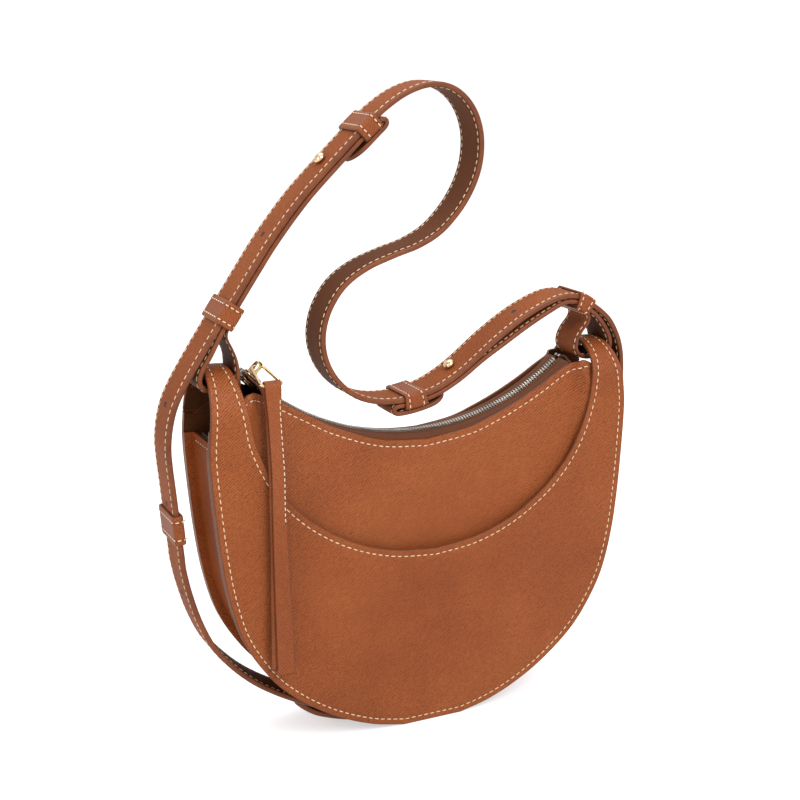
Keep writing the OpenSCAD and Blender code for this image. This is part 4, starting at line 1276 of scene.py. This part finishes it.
for nm, pth, flip in (("left", left_path, False), ("right", right_path, False)):
    p = smooth(even(pth, 1.4), 3)
    ob, th = strap_piece("anchor_" + nm, p, ANCHOR_T, ["anchor_strap_" + nm], "shoulder_strap",
                         flip=(nm == "left"), tips=(True, False), pare=(43, 18))
    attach(ob, "shoulder_strap")
    th.done("anchor_stitches_" + nm, "shoulder_strap")


def keeper(name, k, u0, u1, d0, d1, node, body, n=10):
    """Leather loop round the strap's layers between the offsets d0 and d1."""
    hw, t = W2 + 0.4, KEEPER_T
    R = 2.0

    def ring(a, lo, hi, r):
        pts = []
        for cx, cy, s0 in ((a - r, hi - r, 0), (a - r, lo + r, 1), (-a + r, lo + r, 2), (-a + r, hi - r, 3)):
            for q in range(6):
                ang = math.pi / 2 * (1 - q / 5) - s0 * math.pi / 2
                pts.append((cx + r * math.cos(ang), cy + r * math.sin(ang)))
        out = []
        for i in range(len(pts)):
            p0, p1 = pts[i], pts[(i + 1) % len(pts)]
            out.append(p0)
            d = math.hypot(p1[0] - p0[0], p1[1] - p0[1])
            if d > 3:
                m_ = max(2, int(d / 3))
                out += [(lerp(p0[0], p1[0], j / m_), lerp(p0[1], p1[1], j / m_)) for j in range(1, m_)]
        return out
    outer = ring(hw + t, d0 - t, d1 + t, R)
    inner = ring(hw, d0, d1, 0.7)
    m_ = len(outer)
    V, UV, F, fm = [], [], [], []
    us = [lerp(u0, u1, q) for q in [0, 0.03, 0.08, 0.16, 0.22, 0.35, 0.5, 0.65, 0.78, 0.84, 0.92, 0.97, 1]]
    shrink = [0.55, 0.15, 0.0, 0.0, 0.18, 0, 0, 0, 0.18, 0.0, 0.0, 0.15, 0.55]
    cen = (d0 + d1) / 2
    for u, sh in zip(us, shrink):
        t_ = unit(crp(k, u + 0.04) - crp(k, u - 0.04))
        nv = arr([-t_[1], t_[0]])
        c0 = crp(k, u)
        sl_ = np.linalg.norm(crp(k, u) - crp(k, u0))
        run = 0
        for i, (y, b) in enumerate(outer):
            l = math.hypot(y, b - cen)
            f = 1 - sh / max(l, 1)
            q = c0 + nv * (cen + (b - cen) * f)
            V.append((q[0], y * f, q[1]))
            if i:
                run += math.hypot(outer[i][0] - outer[i - 1][0], outer[i][1] - outer[i - 1][1])
            UV.append((sl_ * MM, run * MM))
    base = len(V)
    for u in us:
        t_ = unit(crp(k, u + 0.04) - crp(k, u - 0.04))
        nv = arr([-t_[1], t_[0]])
        c0 = crp(k, u)
        for (y, b) in inner:
            q = c0 + nv * b
            V.append((q[0], y, q[1]))
            UV.append((0, y * MM))
    mi = len(inner)
    for i in range(len(us) - 1):
        for j in range(m_):
            F.append((i * m_ + j, i * m_ + (j + 1) % m_, (i + 1) * m_ + (j + 1) % m_, (i + 1) * m_ + j)); fm.append(0 if 0 < i < len(us) - 2 else 1)
        for j in range(mi):
            a = base + i * mi
            F.append((a + j, a + mi + j, a + mi + (j + 1) % mi, a + (j + 1) % mi)); fm.append(2)
    # rims: stitch outer and inner loops together with triangles and quads
    for i in (0, len(us) - 1):
        a, b = i * m_, base + i * mi
        ia, ib = 0, 0
        ang_o = [math.atan2(q[1] - cen, q[0]) for q in outer]
        ang_i = [math.atan2(q[1] - cen, q[0]) for q in inner]
        if m_ == mi:
            for j in range(m_):
                f = (a + j, b + j, b + (j + 1) % mi, a + (j + 1) % m_)
                F.append(f if i == 0 else f[::-1]); fm.append(1)
        else:
            while ia < m_ or ib < mi:
                fa, fb = (ia + 1) / m_, (ib + 1) / mi
                if ib >= mi or (ia < m_ and fa <= fb):
                    f = (a + ia % m_, b + ib % mi, a + (ia + 1) % m_)
                    ia += 1
                else:
                    f = (a + ia % m_, b + ib % mi, b + (ib + 1) % mi)
                    ib += 1
                F.append(f if i == 0 else f[::-1]); fm.append(1)
    ob = outward(make(name, V, F, SMALL, fm, UV))
    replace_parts(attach(ob, body), node)
    th = Thread()
    loop_o = outer + [outer[0]]
    for q in (0.19, 0.81):
        u = lerp(u0, u1, q)
        t_ = unit(crp(k, u + 0.04) - crp(k, u - 0.04))
        nv = arr([-t_[1], t_[0]])
        c0 = crp(k, u)
        P, N = [], []
        for i, (y, b) in enumerate(loop_o):
            y1, b1 = loop_o[(i + 1) % len(outer)]
            y_1, b_1 = loop_o[i - 1] if i else outer[-1]
            ty, tb = y1 - y_1, b1 - b_1
            ny, nb = tb, -ty
            if ny * y + nb * (b - cen) < 0:
                ny, nb = -ny, -nb
            l = math.hypot(ny, nb) + 1e-9
            q3 = c0 + nv * (b - 0.1 * nb / l)
            P.append((q3[0], y - 0.1 * ny / l, q3[1]))
            d3 = nv * nb / l
            N.append((d3[0], ny / l, d3[1]))
        th.row(arr(P), arr(N), pitch=3.3, dash=2.2, wide=0.38, high=0.3)
    th.done(name + "_stitches", body)
    return ob


TG = BELT_T / 2 + 0.3
keeper("keeper_end_left", BELT_K, 8 - 13 / 50, 8 + 13 / 34, LAY - ANCHOR_T / 2 - 0.3, TG, "end_keeper_left", "shoulder_strap")
keeper("keeper_end_right", BELT_K, 33.1 - 13 / 24, 33.1 + 13 / 24, LAY - ANCHOR_T / 2 - 0.3, TG, "end_keeper_right", "shoulder_strap")
keeper("keeper_lower_left", BELT_K, 2 - 13 / 25, 2 + 13 / 25, LAY2 - END_T / 2 - 0.35, TG, "lower_keeper_left", "shoulder_strap")
keeper("keeper_lower_right", BELT_K, 42.35 - 0.48, 42.35 + 0.48, LAY2 - END_T / 2 - 0.35, TG, "lower_keeper_right", "shoulder_strap")
keeper("keeper_side", LEFT_K, 12.1 - 1, 12.1 + 1, -TG, TG, "side_keeper", "belt_keeper")

# button studs: turned heads on their posts
V, F = [], []
prof = [(0.0, -1.6), (1.5, -1.6), (1.5, 0.0), (1.9, 0.05), (2.0, 0.25), (2.9, 0.5), (3.2, 0.95), (3.3, 1.5), (3.2, 2.1), (2.9, 2.75),
        (2.4, 3.25), (1.7, 3.65), (0.9, 3.85), (0.0, 3.9)]
for u in (6.95, 35.85):
    c = at(BELT_K, u, BELT_T / 2 + 0.1)
    t = unit(crp(BELT_K, u + 0.04) - crp(BELT_K, u - 0.04))
    nv = arr([-t[1], t[0]])
    b = len(V)
    for (r, h) in prof:
        for j in range(32):
            a = 2 * math.pi * j / 32
            q = c + t * r * math.cos(a) + nv * h
            V.append((q[0], r * math.sin(a), q[1]))
    for i in range(len(prof) - 1):
        for j in range(32):
            F.append((b + i * 32 + j, b + i * 32 + (j + 1) % 32, b + (i + 1) * 32 + (j + 1) % 32, b + (i + 1) * 32 + j))
ob = make("stud_domes", V, F, (M["gold"],))
import bmesh
bm = bmesh.new(); bm.from_mesh(ob.data)
bmesh.ops.remove_doubles(bm, verts=bm.verts, dist=1e-7)
bmesh.ops.recalc_face_normals(bm, faces=bm.faces)
bm.to_mesh(ob.data); bm.free()
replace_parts(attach(ob, "shoulder_strap"), "stud_heads")

# carried-over construction nodes
for node, mat in (("bottom_board", "board"), ("zip_stops", "zip_metal"), ("stud_screws", "gold")):
    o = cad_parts[node]
    o.data.materials.clear()
    o.data.materials.append(M[mat])

# ------------------------------------------------------------------ floor, light, camera

S = 60.0
fl = bpy.data.meshes.new("floor")
fl.from_pydata([(-S, -S, 0), (S, -S, 0), (S, S, 0), (-S, S, 0)], [], [(0, 1, 2, 3)])
floor = bpy.data.objects.new("floor", fl)
bpy.context.scene.collection.objects.link(floor)
k = Nodes("floor_paper")
k.p.inputs["Roughness"].default_value = 0.7
k.p.inputs["Specular IOR Level"].default_value = 0.15
co = k.n("ShaderNodeTexCoord")
a = k.n("ShaderNodeTexNoise", Scale=3.0, Detail=2.0)
k.l(co.outputs["Object"], a.inputs["Vector"])
k.l(k.ramp(a.outputs["Fac"], [(0.3, (0.50, 0.50, 0.50)), (0.7, (0.52, 0.52, 0.52))]), k.p.inputs["Base Color"])
k.p.inputs["Emission Color"].default_value = (1, 1, 1, 1)
k.p.inputs["Emission Strength"].default_value = 0.50
fl.materials.append(k.mat)

world = bpy.context.scene.world or bpy.data.worlds.new("world")
bpy.context.scene.world = world
world.use_nodes = True
bg = world.node_tree.nodes["Background"]
bg.inputs[0].default_value = (1.0, 1.0, 1.0, 1)
bg.inputs[1].default_value = 1.05


def area(name, loc, to, size, power, col=(1, 1, 1)):
    d = bpy.data.lights.new(name, "AREA")
    d.energy, d.size, d.color = power, size, col
    o = bpy.data.objects.new(name, d)
    o.location = loc
    o.rotation_euler = (Vector(to) - Vector(loc)).to_track_quat("-Z", "Y").to_euler()
    bpy.context.scene.collection.objects.link(o)
    return o


area("key", (0.35, -1.5, 1.5), (0, 0, 0.15), 1.1, 36)
area("left", (-1.5, -0.5, 0.9), (0, 0, 0.15), 0.9, 10)
area("top", (0.1, 0.5, 1.7), (0, 0, 0.1), 1.2, 16)

cam_d = bpy.data.cameras.new("camera")
cam = bpy.data.objects.new("camera", cam_d)
bpy.context.scene.collection.objects.link(cam)
right = Vector((0.9077, -0.4194, -0.0138)).normalized()
back_v = Vector((-0.4026, -0.8797, 0.2531)).normalized()
up = back_v.cross(right).normalized()
right = up.cross(back_v).normalized()
cam.matrix_world = Matrix(((right.x, up.x, back_v.x, -0.34185), (right.y, up.y, back_v.y, -0.73309),
                           (right.z, up.z, back_v.z, 0.39456), (0, 0, 0, 1)))
cam_d.sensor_width = 36.0
cam_d.lens = 67.5
cam_d.clip_start = 0.01
bpy.context.scene.camera = cam
bpy.context.scene.view_settings.view_transform = "Standard"
bpy.context.scene.view_settings.look = "None"
